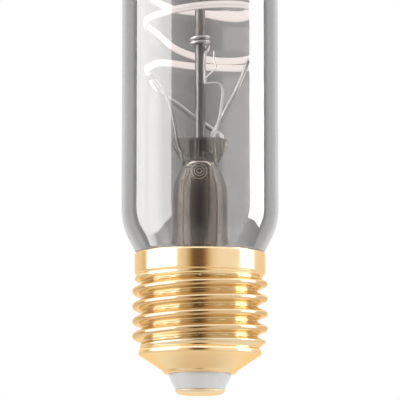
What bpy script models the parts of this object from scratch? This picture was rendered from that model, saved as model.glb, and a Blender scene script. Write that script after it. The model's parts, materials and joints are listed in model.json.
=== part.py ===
"""Tubular LED filament bulb with a screw cap.

Metres, +Z up. The origin is the centre of the flat face of the centre contact, and the bulb
stands on it: cap below, glass tube above. The camera side of the bulb is -Y.
"""

import math

import bmesh
import bpy
import numpy as np
from mathutils import Vector

MM = 0.001

# Whole bulb
BULB_LENGTH = 185.0 * MM
FIT_GAP = 0.25 * MM

# Glass tube
TUBE_WALL = 0.8 * MM
DOME_HEIGHT = 13.5 * MM
SHOULDER_WIDTH = 2.65 * MM
SHOULDER_INSET = 0.06 * MM
SHOULDER_SLOPE = 0.53
SHOULDER_ROUND = 8.5 * MM
SHOULDER_STEP = 0.45 * MM
CEMENT_THICKNESS = 0.66 * MM

# Screw cap
CONTACT_RADIUS = 4.85 * MM
CONTACT_HEIGHT = 0.95 * MM
CONTACT_FLAT_RADIUS = 3.9 * MM
CONTACT_EDGE = 0.12 * MM
CONTACT_STEM_RADIUS = 1.4 * MM
CONTACT_OVERHANG = 0.1 * MM
INSULATOR_LIP_RADIUS = 6.05 * MM
INSULATOR_HEIGHT = 3.05 * MM
INSULATOR_PLUG_HEIGHT = 2.75 * MM
SHELL_WALL = 0.3 * MM
SHELL_LIP_WIDTH = 0.9 * MM
CONE_HEIGHT = 3.45 * MM
BAND_RADIUS = 11.85 * MM
BAND_HEIGHT = 1.35 * MM
BAND_BULGE = 0.4 * MM
THREAD_CREST_RADIUS = 13.08 * MM
THREAD_ROOT_RADIUS = 11.05 * MM
THREAD_PITCH = 2.9 * MM
THREAD_LENGTH = 14.3 * MM
THREAD_RUN_OUT = 1.2 * MM
COLLAR_RADIUS = 12.66 * MM
COLLAR_HEIGHT = 4.3 * MM
NECK_LIFT = 0.1 * MM

# Glass stem: the flared tube, its flattened press and the exhaust tube
FLARE_RADIUS = 5.3 * MM
FLARE_WALL = 0.8 * MM
FLARE_HEIGHT = 15.4 * MM
FLARE_BELL_HEIGHT = 9.0 * MM
WAIST_WALL = 0.3 * MM
WAIST_RISE = 6.0 * MM
PRESS_HALF_WIDTH = 5.5 * MM
PRESS_WALL = 0.65 * MM
PRESS_HEIGHT = 5.25 * MM
PRESS_SHOULDER = 0.8 * MM
SOCKET_DEPTH = 3.4 * MM
EXHAUST_RADIUS = 2.03 * MM
EXHAUST_TAIL_RADIUS = 1.5 * MM
EXHAUST_WALL = 0.6 * MM
EXHAUST_TIP_DROP = 0.9 * MM
EXHAUST_TAIL_RISE = 7.0 * MM
EXHAUST_TAPER = 5.0 * MM
EXHAUST_HOLE_RADIUS = 1.3 * MM
HOLE_DROP = 0.7 * MM

# Post, supports and leads
POST_RADIUS = 1.0 * MM
POST_RISE = 3.5 * MM
LEAD_RADIUS = 0.26 * MM
STRUT_RADIUS = 0.43 * MM
HOOK_RADIUS = 0.2 * MM
PIN_RADIUS = 0.35 * MM
COIL_TURNS = 3
COIL_PITCH = 0.9 * MM
COIL_LIFT = 2.0 * MM
COIL_SLACK = 0.25 * MM
COIL_TAIL_DROP = 2.1 * MM
JOG_RISE = 10.65 * MM
JOG_REACH = 3.36 * MM
LEAD_SPACING = 1.75 * MM
SEAL_GLASS = 0.27 * MM

# Filament
FILAMENT_RADIUS = 0.7 * MM
SPIRAL_CLEARANCE = 3.95 * MM
SPIRAL_RISE = 16.15 * MM
SPIRAL_PITCH = 9.1 * MM
SPIRAL_TOP_ROOM = 27.5 * MM
LOWER_STRAND_DROP = 1.75 * MM

# Driver in the cap; a place is across from the axis and up from the board's foot
BOARD_WIDTH = 14.4 * MM
BOARD_HEIGHT = 13.4 * MM
BOARD_THICKNESS = 1.0 * MM
BOARD_Y = 1.8 * MM
CAPACITOR_RADIUS = 3.15 * MM
CAPACITOR_LENGTH = 9.0 * MM
RESISTOR_RADIUS = 1.4 * MM
RESISTOR_LENGTH = 7.0 * MM
RECTIFIER_SIZE = (3.9 * MM, 1.5 * MM, 4.7 * MM)
CHIP_SIZE = (4.9 * MM, 1.4 * MM, 3.9 * MM)
CHIP_RESISTOR_SIZE = (2.0 * MM, 0.6 * MM, 1.25 * MM)
RECTIFIER_PLACE = (4.2 * MM, 7.9 * MM)
CHIP_PLACE = (2.9 * MM, 5.6 * MM)
CHIP_RESISTOR_PLACE = (4.2 * MM, 3.2 * MM)
CAPACITOR_PLACE = (-CAPACITOR_RADIUS - 0.1 * MM, 7.2 * MM)
RESISTOR_PLACE = (-3.4 * MM, 7.0 * MM)
CONTACT_HOLE_PLACE = (1.4 * MM, 1.7 * MM)
SHELL_HOLE_PLACE = (1.2 * MM - BOARD_WIDTH / 2, 1.7 * MM)
SOLDER_RADIUS = 0.9 * MM

# Facets
TUBE_SIDES = 28
CAP_SIDES = 24
STEM_SIDES = 24
SMALL_SIDES = 12
SPIRAL_POINTS_PER_TURN = 14
ROUTE_STEP = 1.7 * MM
WIRE_ROUNDNESS = 1

# Radii that follow from the sizes above
CONE_FOOT_RADIUS = INSULATOR_LIP_RADIUS + FIT_GAP + SHELL_LIP_WIDTH
INSULATOR_FOOT_RADIUS = CONTACT_RADIUS - CONTACT_OVERHANG
SHOULDER_FOOT_RADIUS = COLLAR_RADIUS - SHOULDER_INSET
TUBE_RADIUS = SHOULDER_FOOT_RADIUS + SHOULDER_WIDTH
NECK_RADIUS = COLLAR_RADIUS - SHELL_WALL - CEMENT_THICKNESS - 2 * FIT_GAP
SPIRAL_RADIUS = TUBE_RADIUS - TUBE_WALL - SPIRAL_CLEARANCE
POST_SIDE = POST_RADIUS + FIT_GAP
PRESS_HALF_DEPTH = POST_SIDE + PRESS_WALL
SEAL_X = EXHAUST_RADIUS + LEAD_RADIUS + SEAL_GLASS
HOLLOW_TOP_RADIUS = SEAL_X + LEAD_RADIUS + FIT_GAP
WAIST_RADIUS = HOLLOW_TOP_RADIUS + WAIST_WALL

# Heights that follow from the sizes above
LIP_Z = CONTACT_HEIGHT + INSULATOR_HEIGHT
INSULATOR_TOP_Z = LIP_Z + INSULATOR_PLUG_HEIGHT
CONE_TOP_Z = LIP_Z + CONE_HEIGHT
THREAD_FOOT_Z = CONE_TOP_Z + BAND_HEIGHT
COLLAR_FOOT_Z = THREAD_FOOT_Z + THREAD_LENGTH
RIM_Z = COLLAR_FOOT_Z + COLLAR_HEIGHT
NECK_END_Z = COLLAR_FOOT_Z + NECK_LIFT
FLARE_TOP_Z = NECK_END_Z + FLARE_HEIGHT
WAIST_Z = FLARE_TOP_Z + WAIST_RISE
PRESS_TOP_Z = WAIST_Z + PRESS_HEIGHT
HOLLOW_TOP_Z = WAIST_Z - 2.0 * MM
HOLE_Z = WAIST_Z - HOLE_DROP
SPIRAL_FOOT_Z = PRESS_TOP_Z + SPIRAL_RISE
COIL_Z = SPIRAL_FOOT_Z + COIL_LIFT
BOARD_FOOT_Z = INSULATOR_TOP_Z + FIT_GAP
BOARD_TOP_Z = BOARD_FOOT_Z + BOARD_HEIGHT
BOARD_FRONT_Y = BOARD_Y - BOARD_THICKNESS / 2
BOARD_BACK_Y = BOARD_Y + BOARD_THICKNESS / 2

# Colour, roughness, metallic and transmission of each finish
FINISHES = {
    "smoky_glass": ((0.62, 0.6, 0.58), 0.03, 0.0, 1.0),
    "stem_glass": ((0.8, 0.79, 0.76), 0.04, 0.0, 1.0),
    "gold_plated_steel": ((0.87, 0.66, 0.38), 0.24, 1.0, 0.0),
    "bright_metal": ((0.72, 0.71, 0.7), 0.18, 1.0, 0.0),
    "white_insulator": ((0.85, 0.85, 0.85), 0.3, 0.0, 0.0),
    "filament_coating": ((0.95, 0.88, 0.8), 0.5, 0.0, 0.0),
    "cement": ((0.75, 0.72, 0.66), 0.9, 0.0, 0.0),
    "circuit_board": ((0.1, 0.32, 0.14), 0.5, 0.0, 0.0),
    "black_plastic": ((0.03, 0.03, 0.035), 0.45, 0.0, 0.0),
    "resistor_lacquer": ((0.25, 0.42, 0.6), 0.4, 0.0, 0.0),
    "solder": ((0.7, 0.7, 0.72), 0.35, 1.0, 0.0),
}


# Scene, collections and finishing

def clear_scene():
    for obj in list(bpy.data.objects):
        bpy.data.objects.remove(obj)


def new_collection(name):
    collection = bpy.data.collections.new(name)
    bpy.context.scene.collection.children.link(collection)
    return collection


def material(piece_name, finish):
    colour, roughness, metallic, transmission = FINISHES[finish]
    made = bpy.data.materials.new(piece_name + "_" + finish)
    made.use_nodes = True
    shader = made.node_tree.nodes["Principled BSDF"]
    shader.inputs["Base Color"].default_value = (*colour, 1.0)
    shader.inputs["Roughness"].default_value = roughness
    shader.inputs["Metallic"].default_value = metallic
    shader.inputs["Transmission Weight"].default_value = transmission
    return made


def link_piece(obj, finish):
    """Put a piece in the bulb's collection, under its frame empty, with its own material."""
    parts.objects.link(obj)
    obj.parent = frame
    obj.data.materials.clear()
    obj.data.materials.append(material(obj.name, finish))
    return obj


def link_cutter(obj):
    cutters.objects.link(obj)
    obj.parent = frame
    obj.hide_render = True
    obj.display_type = "WIRE"
    return obj


def finish_mesh(obj):
    """Apply the modifiers and shade the round faces smooth."""
    graph = bpy.context.evaluated_depsgraph_get()
    mesh = bpy.data.meshes.new_from_object(obj.evaluated_get(graph), depsgraph=graph)
    obj.modifiers.clear()
    obj.data = mesh
    mesh.shade_smooth()
    mesh.set_sharp_from_angle(angle=math.radians(35))


def cut(obj, cutter):
    modifier = obj.modifiers.new("cut_" + cutter.name, "BOOLEAN")
    modifier.operation = "DIFFERENCE"
    modifier.solver = "EXACT"
    modifier.object = cutter


# Forms

def ring_point(radius, degrees, z):
    angle = math.radians(degrees)
    return Vector((radius * math.cos(angle), radius * math.sin(angle), z))


def turned(name, profile, sides, finish, closed=False, wall=None):
    """Turn (radius, z) points round Z. The outer side of a profile runs from top to bottom."""
    mesh = bpy.data.meshes.new(name)
    edges = [(i, i + 1) for i in range(len(profile) - 1)]
    if closed:
        edges.append((len(profile) - 1, 0))
    mesh.from_pydata([(radius, 0.0, z) for radius, z in profile], edges, [])
    obj = link_piece(bpy.data.objects.new(name, mesh), finish)
    screw = obj.modifiers.new("turn", "SCREW")
    screw.axis = "Z"
    screw.steps = sides
    screw.render_steps = sides
    screw.use_merge_vertices = True
    screw.merge_threshold = 0.00001
    if wall:
        shell = obj.modifiers.new("wall", "SOLIDIFY")
        shell.thickness = wall
        shell.offset = -1.0
        shell.use_even_offset = True
    return obj


def rounded_corner(before, corner, after, radius, steps):
    """Points of the arc that rounds a corner between two straight runs of a profile."""
    corner = Vector(corner)
    to_before = (Vector(before) - corner).normalized()
    to_after = (Vector(after) - corner).normalized()
    half = to_before.angle(to_after) / 2
    reach = radius / math.tan(half)
    centre = corner + (to_before + to_after).normalized() * (radius / math.sin(half))
    first = corner + to_before * reach - centre
    last = corner + to_after * reach - centre
    points = []
    for i in range(steps + 1):
        spoke = first.lerp(last, i / steps).normalized() * radius
        points.append(tuple(centre + spoke))
    return points


def smooth_route(points, step=ROUTE_STEP):
    """A smooth curve through a wire's own points, sampled about every step."""
    points = [Vector(p) for p in points]
    padded = [2 * points[0] - points[1], *points, 2 * points[-1] - points[-2]]
    route = []
    for a, b, c, d in zip(padded, padded[1:], padded[2:], padded[3:]):
        count = max(1, round((c - b).length / step))
        for i in range(count):
            t = i / count
            bend = (2 * a - 5 * b + 4 * c - d) * t**2 + (3 * b - a - 3 * c + d) * t**3
            route.append(b + ((c - a) * t + bend) / 2)
    route.append(points[-1])
    return route


def tube_curve(name, route, radius):
    curve = bpy.data.curves.new(name, "CURVE")
    curve.dimensions = "3D"
    curve.bevel_depth = radius
    curve.bevel_resolution = WIRE_ROUNDNESS
    curve.use_fill_caps = True
    spline = curve.splines.new("POLY")
    spline.points.add(len(route) - 1)
    for point, place in zip(spline.points, route):
        point.co = (*place, 1.0)
    return bpy.data.objects.new(name, curve)


def wire(name, route, radius, finish):
    return link_piece(tube_curve(name, route, radius), finish)


def wire_cutter(name, route, radius):
    """A closed tube mesh along a route, to cut a hole or a socket with."""
    curve_obj = tube_curve(name + "_curve", route, radius)
    cutters.objects.link(curve_obj)
    graph = bpy.context.evaluated_depsgraph_get()
    mesh = bpy.data.meshes.new_from_object(curve_obj.evaluated_get(graph), depsgraph=graph)
    bpy.data.objects.remove(curve_obj)
    shape = bmesh.new()
    shape.from_mesh(mesh)
    bmesh.ops.remove_doubles(shape, verts=shape.verts, dist=0.000001)
    bmesh.ops.recalc_face_normals(shape, faces=shape.faces)
    shape.to_mesh(mesh)
    shape.free()
    return link_cutter(bpy.data.objects.new(name, mesh))


def box(name, size, centre, finish, bevel=0.0):
    shape = bmesh.new()
    bmesh.ops.create_cube(shape, size=1.0)
    bmesh.ops.scale(shape, vec=size, verts=shape.verts)
    mesh = bpy.data.meshes.new(name)
    shape.to_mesh(mesh)
    shape.free()
    obj = link_piece(bpy.data.objects.new(name, mesh), finish)
    obj.location = centre
    if bevel:
        rounding = obj.modifiers.new("edges", "BEVEL")
        rounding.width = bevel
        rounding.segments = 1
    return obj


def section_ring(shape, z, half_width, half_depth, power):
    """One cross-section of the stem: round at power 2, flattened with full corners above it."""
    ring = []
    for i in range(STEM_SIDES):
        angle = 2 * math.pi * i / STEM_SIDES
        c = math.cos(angle)
        s = math.sin(angle)
        x = half_width * math.copysign(abs(c) ** (2 / power), c)
        y = half_depth * math.copysign(abs(s) ** (2 / power), s)
        ring.append(shape.verts.new((x, y, z)))
    return ring


def join_rings(shape, rings):
    for lower, upper in zip(rings, rings[1:]):
        for i in range(STEM_SIDES):
            j = (i + 1) % STEM_SIDES
            shape.faces.new((lower[i], lower[j], upper[j], upper[i]))


# Routes that more than one piece needs

def level_at(degrees, levels):
    """Height at an angle on a smooth curve through (angle, height) pairs."""
    angles = np.array([a for a, _ in levels], float)
    heights = np.array([z for _, z in levels], float)
    slopes = np.gradient(heights, angles)
    i = int(np.clip(np.searchsorted(angles, degrees) - 1, 0, len(angles) - 2))
    span = angles[i + 1] - angles[i]
    t = (degrees - angles[i]) / span
    rise = heights[i + 1] - heights[i]
    ease = 3 * t**2 - 2 * t**3
    first = (t**3 - 2 * t**2 + t) * span * slopes[i]
    last = (t**3 - t**2) * span * slopes[i + 1]
    return float(heights[i] + ease * rise + first + last)


STRAND_START = 4.0
LOWER_STRAND_END = 174.0
SPIRAL_START_LEVELS = [
    (STRAND_START, 0.0),
    (30.0, 0.027 * SPIRAL_PITCH),
    (90.0, 0.176 * SPIRAL_PITCH),
    (121.0, 0.363 * SPIRAL_PITCH),
    (148.0, 0.615 * SPIRAL_PITCH),
    (180.0, 0.692 * SPIRAL_PITCH),
    (222.0, 0.769 * SPIRAL_PITCH),
    (270.0, 0.89 * SPIRAL_PITCH),
    (325.0, 0.956 * SPIRAL_PITCH),
    (364.0, 0.962 * SPIRAL_PITCH),
    (394.0, 0.973 * SPIRAL_PITCH),
    (425.0, 1.055 * SPIRAL_PITCH),
    (450.0, 1.17 * SPIRAL_PITCH),
    (475.0, 1.21 * SPIRAL_PITCH),
]
LOWER_LEVELS = [
    (STRAND_START, 0.0),
    (30.0, 0.044 * SPIRAL_PITCH),
    (90.0, 0.17 * SPIRAL_PITCH),
    (148.0, 0.155 * SPIRAL_PITCH),
    (LOWER_STRAND_END, -0.04 * SPIRAL_PITCH),
]
FULL_TURN = 360.0
GAP_ANGLE = math.degrees(FIT_GAP / SPIRAL_RADIUS)


def spiral_end():
    """The last angle of the spiral: as many whole turns as fit under the dome, and a half."""
    room = BULB_LENGTH - SPIRAL_TOP_ROOM - SPIRAL_FOOT_Z
    turns = max(2, round(room / SPIRAL_PITCH))
    return FULL_TURN * turns + STRAND_START


def upper_level(degrees):
    """Height of the spiral: an uneven start, then an even pitch."""
    last_angle, last_level = SPIRAL_START_LEVELS[-1]
    if degrees <= last_angle:
        return SPIRAL_FOOT_Z + level_at(degrees, SPIRAL_START_LEVELS)
    turns = (degrees - last_angle) / FULL_TURN
    return SPIRAL_FOOT_Z + last_level + turns * SPIRAL_PITCH


def lower_level(degrees):
    return SPIRAL_FOOT_Z - LOWER_STRAND_DROP + level_at(degrees, LOWER_LEVELS)


def strand_route(level, start, end):
    count = round((end - start) / FULL_TURN * SPIRAL_POINTS_PER_TURN)
    angles = [start + (end - start) * i / count for i in range(count + 1)]
    return [ring_point(SPIRAL_RADIUS, a, level(a)) for a in angles]


def press_point(x, y, drop=0.0):
    return Vector((x, y, PRESS_TOP_Z - drop))


def way_point(foot, head, across, y, up):
    """A point of a wire between its two ends, by shares of their distance across and up."""
    return Vector((foot.x + across * (head.x - foot.x), y, foot.z + up * (head.z - foot.z)))


LEFT_LEAD_X = 1.05 * MM - PRESS_HALF_WIDTH
RIGHT_LEAD_X = POST_RADIUS + LEAD_SPACING
RIGHT_LEAD_Y = -0.5 * PRESS_HALF_DEPTH
RIGHT_STRUT_X = POST_RADIUS + STRUT_RADIUS + 0.75 * MM
LEFT_STRUT_X = PRESS_HALF_WIDTH - STRUT_RADIUS - 0.8 * MM
STRUT_Y = 0.3 * PRESS_HALF_DEPTH
LEAD_DROP_X = (FLARE_RADIUS - FLARE_WALL + EXHAUST_RADIUS) / 2
BOARD_PAD_X = 3.8 * MM
BOARD_PAD_Z = BOARD_TOP_Z - 1.1 * MM


def lead_tail(side, end_y):
    """A lead's way from the waist of the stem down to its hole in the board."""
    drop = HOLLOW_TOP_Z - NECK_END_Z
    return [
        Vector((side * SEAL_X, 0.0, WAIST_Z)),
        Vector((side * SEAL_X, 0.0, HOLLOW_TOP_Z)),
        Vector((side * LEAD_DROP_X, 0.0, HOLLOW_TOP_Z - 0.13 * drop)),
        Vector((side * LEAD_DROP_X, 0.0, HOLLOW_TOP_Z - 0.62 * drop)),
        Vector((side * LEAD_DROP_X, 0.0, NECK_END_Z)),
        Vector((side * (LEAD_DROP_X + BOARD_PAD_X) / 2, 0.1 * MM, BOARD_TOP_Z + 1.0 * MM)),
        Vector((side * BOARD_PAD_X, BOARD_FRONT_Y - 0.5 * MM, BOARD_PAD_Z + 0.1 * MM)),
        Vector((side * BOARD_PAD_X, end_y, BOARD_PAD_Z)),
    ]


PIN_DROP = 1.6 * MM
PIN_REACH = 0.9 * MM


def left_pin_route():
    """From the lower strand's left end down, then in along the inside of the tube."""
    pin_start = LOWER_STRAND_END + 1.6 * GAP_ANGLE
    start = ring_point(SPIRAL_RADIUS, pin_start, lower_level(LOWER_STRAND_END))
    bend = ring_point(SPIRAL_RADIUS, 180.0, start.z - 0.7 * PIN_DROP)
    end = Vector((PIN_REACH - SPIRAL_RADIUS, -0.06 * SPIRAL_RADIUS, start.z - PIN_DROP))
    return [start, bend, end]


def left_lead_route():
    head = left_pin_route()[-1] + Vector((0.0, -LEAD_RADIUS - PIN_RADIUS - FIT_GAP, 0.0))
    foot = press_point(LEFT_LEAD_X, 0.0)
    return [
        head + Vector((0.0, 0.0, LEAD_RADIUS)),
        way_point(foot, head, 0.76, -0.12 * SPIRAL_RADIUS, 0.93),
        way_point(foot, head, 0.46, -0.13 * SPIRAL_RADIUS, 0.72),
        way_point(foot, head, 0.17, -0.08 * SPIRAL_RADIUS, 0.38),
        foot,
        press_point(LEFT_LEAD_X + 0.53 * (-SEAL_X - LEFT_LEAD_X), 0.0, 0.5 * PRESS_HEIGHT),
        press_point(-SEAL_X - 0.2 * MM, 0.0, 0.79 * PRESS_HEIGHT),
        *lead_tail(-1, BOARD_Y),
    ]


COIL_START = 130.0
COIL_END = -10.0 - FULL_TURN * (COIL_TURNS - 1)
COIL_STEPS_PER_TURN = 10
LEAD_SIDE_ANGLE = -50.0
LEAD_BEND = 0.7 * MM


def right_lead_route():
    """From the coil round the post, down its front, out to the right and into the press."""
    wrap_radius = POST_SIDE + COIL_SLACK + LEAD_RADIUS
    turns = (COIL_START - COIL_END) / FULL_TURN
    count = round(turns * COIL_STEPS_PER_TURN)
    coil = []
    for i in range(count + 1):
        share = i / count
        angle = COIL_START + (COIL_END - COIL_START) * share
        coil.append(ring_point(wrap_radius, angle, COIL_Z + COIL_PITCH * turns * (1 - share)))
    side = ring_point(POST_SIDE + LEAD_RADIUS, LEAD_SIDE_ANGLE, COIL_Z - COIL_TAIL_DROP)
    foot = press_point(RIGHT_LEAD_X, RIGHT_LEAD_Y)
    jog = Vector((POST_RADIUS + JOG_REACH, side.y, PRESS_TOP_Z + JOG_RISE))
    return coil, [
        coil[-1],
        (coil[-1] + side) / 2 + Vector((0.3 * COIL_SLACK, -COIL_SLACK, 0.0)),
        side,
        Vector((side.x, side.y, jog.z + LEAD_BEND)),
        Vector((side.x + 0.4 * LEAD_BEND, side.y, jog.z)),
        way_point(side, jog, 0.7, side.y, 1.0),
        way_point(foot, jog, 1.0, side.y, 0.9),
        way_point(foot, jog, 0.96, side.y, 0.72),
        way_point(foot, jog, 0.66, side.y, 0.4),
        foot,
        press_point(RIGHT_LEAD_X, RIGHT_LEAD_Y / 2, 0.5 * PRESS_HEIGHT),
        press_point(SEAL_X, RIGHT_LEAD_Y / 6, 0.79 * PRESS_HEIGHT),
        *lead_tail(1, BOARD_Y),
    ]


def left_strut_route():
    """From under the left pin down, behind the post and into the right half of the press."""
    reach = STRUT_RADIUS + PIN_RADIUS + FIT_GAP
    head = left_pin_route()[-1] + Vector((0.0, 0.0, -reach))
    foot = press_point(LEFT_STRUT_X, STRUT_Y)
    behind_post = POST_SIDE + STRUT_RADIUS + 0.05 * MM
    return [
        head,
        way_point(head, foot, 0.105, head.y, 0.18),
        way_point(head, foot, 0.17, -0.03 * SPIRAL_RADIUS, 0.25),
        way_point(head, foot, 0.27, 0.0, 0.33),
        way_point(head, foot, 0.41, 0.07 * SPIRAL_RADIUS, 0.44),
        way_point(head, foot, 0.6, behind_post, 0.61),
        way_point(head, foot, 0.78, behind_post, 0.75),
        way_point(head, foot, 0.9, 0.95 * behind_post, 0.86),
        way_point(head, foot, 0.98, 0.62 * behind_post, 0.93),
        foot,
        press_point(LEFT_STRUT_X, STRUT_Y, SOCKET_DEPTH - FIT_GAP),
    ]


def link_route():
    """The bent pin that joins the two strands at the right."""
    low = lower_level(STRAND_START)
    high = upper_level(STRAND_START)
    near = STRAND_START - GAP_ANGLE
    return [
        ring_point(SPIRAL_RADIUS, near, low),
        ring_point(SPIRAL_RADIUS, near - 6.0, low + 0.15 * MM),
        ring_point(SPIRAL_RADIUS, near - 9.0, (low + high) / 2),
        ring_point(SPIRAL_RADIUS, near - 6.0, high - 0.15 * MM),
        ring_point(SPIRAL_RADIUS, near, high),
    ]


def right_strut_route():
    """From beside the right link down and into the press, right of the post."""
    inwards = PIN_RADIUS + STRUT_RADIUS + FIT_GAP
    head = link_route()[2] + Vector((-inwards, 0.0, 0.2 * MM))
    foot = press_point(RIGHT_STRUT_X, STRUT_Y)
    return [
        head,
        way_point(foot, head, 0.93, 0.0, 0.9),
        way_point(foot, head, 0.72, -0.036 * SPIRAL_RADIUS, 0.65),
        way_point(foot, head, 0.51, 0.0, 0.46),
        way_point(foot, head, 0.3, 0.5 * STRUT_Y, 0.28),
        way_point(foot, head, 0.035, STRUT_Y, 0.055),
        foot,
        press_point(RIGHT_STRUT_X, STRUT_Y, SOCKET_DEPTH - FIT_GAP),
    ]


HOOK_ANGLE = 72.5


def hook_route():
    """From the post to the far side of the spiral, up along the inside of both strands."""
    inner = SPIRAL_RADIUS - FILAMENT_RADIUS - HOOK_RADIUS - FIT_GAP
    low = lower_level(HOOK_ANGLE)
    high = upper_level(HOOK_ANGLE)
    drop = 0.25 * SPIRAL_RISE
    return [
        ring_point(POST_SIDE + HOOK_RADIUS, HOOK_ANGLE - 10.0, low - drop),
        ring_point(inner * 0.55, HOOK_ANGLE - 7.0, low - 0.5 * drop),
        ring_point(inner * 0.96, HOOK_ANGLE - 4.5, low - 0.1 * drop),
        ring_point(inner, HOOK_ANGLE - 3.0, low + 0.1 * drop),
        ring_point(inner, HOOK_ANGLE - 0.5, high + 0.1 * drop),
        ring_point(inner * 0.99, HOOK_ANGLE - 0.5, high + 0.43 * drop),
    ]


TOP_PIN_SWEEP = 12.0
ARM_RISE = 1.5 * MM
ARM_GRIP_ANGLE = -75.0


def top_arm_route():
    """From the spiral's upper pin to a turn that grips the top of the post."""
    end = spiral_end()
    level = upper_level(end)
    grip = POST_SIDE + LEAD_RADIUS
    grip_angle = end + ARM_GRIP_ANGLE
    reach = SPIRAL_RADIUS - PIN_RADIUS - LEAD_RADIUS - FIT_GAP
    arm = [
        ring_point(reach, end + 0.67 * TOP_PIN_SWEEP, level),
        ring_point(0.75 * SPIRAL_RADIUS, end + 0.42 * TOP_PIN_SWEEP, level + 0.33 * ARM_RISE),
        ring_point(0.4 * SPIRAL_RADIUS, end - 0.42 * TOP_PIN_SWEEP, level + 0.8 * ARM_RISE),
        ring_point(grip, grip_angle, level + ARM_RISE),
    ]
    turn = [ring_point(grip, grip_angle - a, level + ARM_RISE) for a in range(30, 241, 30)]
    return smooth_route(arm) + turn


def on_board(place, y):
    return Vector((place[0], y, BOARD_FOOT_Z + place[1]))


def contact_lead_route():
    hole = on_board(CONTACT_HOLE_PLACE, BOARD_Y)
    return [
        Vector((0.0, 0.0, LIP_Z)),
        Vector((0.0, 0.0, INSULATOR_TOP_Z)),
        Vector((0.36 * hole.x, -0.1 * MM, hole.z - 0.9 * MM)),
        Vector((0.93 * hole.x, BOARD_FRONT_Y - 0.6 * MM, hole.z - 0.2 * MM)),
        hole,
    ]


def solder_centre():
    wall = BAND_RADIUS - SHELL_WALL
    reach = wall - BAND_BULGE - FIT_GAP - SOLDER_RADIUS
    return Vector((-reach, 0.0, CONE_TOP_Z + BAND_HEIGHT / 2))


def shell_lead_route():
    centre = solder_centre()
    hole = on_board(SHELL_HOLE_PLACE, BOARD_Y)
    return [
        hole,
        Vector((hole.x, BOARD_FRONT_Y - 0.7 * MM, hole.z)),
        Vector(((hole.x + centre.x) / 2, 0.2 * MM, centre.z + 0.1 * MM)),
        centre + Vector((SOLDER_RADIUS, 0.0, 0.0)),
        centre,
    ]


# Glass

def make_envelope():
    """The tube, its domed top, the coned shoulder and the neck that the cap holds."""
    dome_z = BULB_LENGTH - DOME_HEIGHT
    dome_steps = 7
    profile = []
    for i in range(dome_steps + 1):
        angle = math.pi / 2 * (1 - i / dome_steps)
        radius = TUBE_RADIUS * math.cos(angle) if i else 0.0
        profile.append((radius, dome_z + DOME_HEIGHT * math.sin(angle)))
    foot = (SHOULDER_FOOT_RADIUS, RIM_Z + SHOULDER_STEP)
    corner_z = foot[1] + (TUBE_RADIUS - SHOULDER_FOOT_RADIUS) / SHOULDER_SLOPE
    profile += rounded_corner(profile[-1], (TUBE_RADIUS, corner_z), foot, SHOULDER_ROUND, 3)
    profile.append(foot)
    step = SHOULDER_FOOT_RADIUS - NECK_RADIUS
    profile.append((NECK_RADIUS + 0.3 * step, RIM_Z + 0.1 * SHOULDER_STEP))
    profile.append((NECK_RADIUS, RIM_Z - SHOULDER_STEP - FIT_GAP))
    profile.append((NECK_RADIUS, NECK_END_Z))
    obj = turned("glass_envelope", profile, TUBE_SIDES, "smoky_glass", wall=TUBE_WALL)
    finish_mesh(obj)


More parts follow.
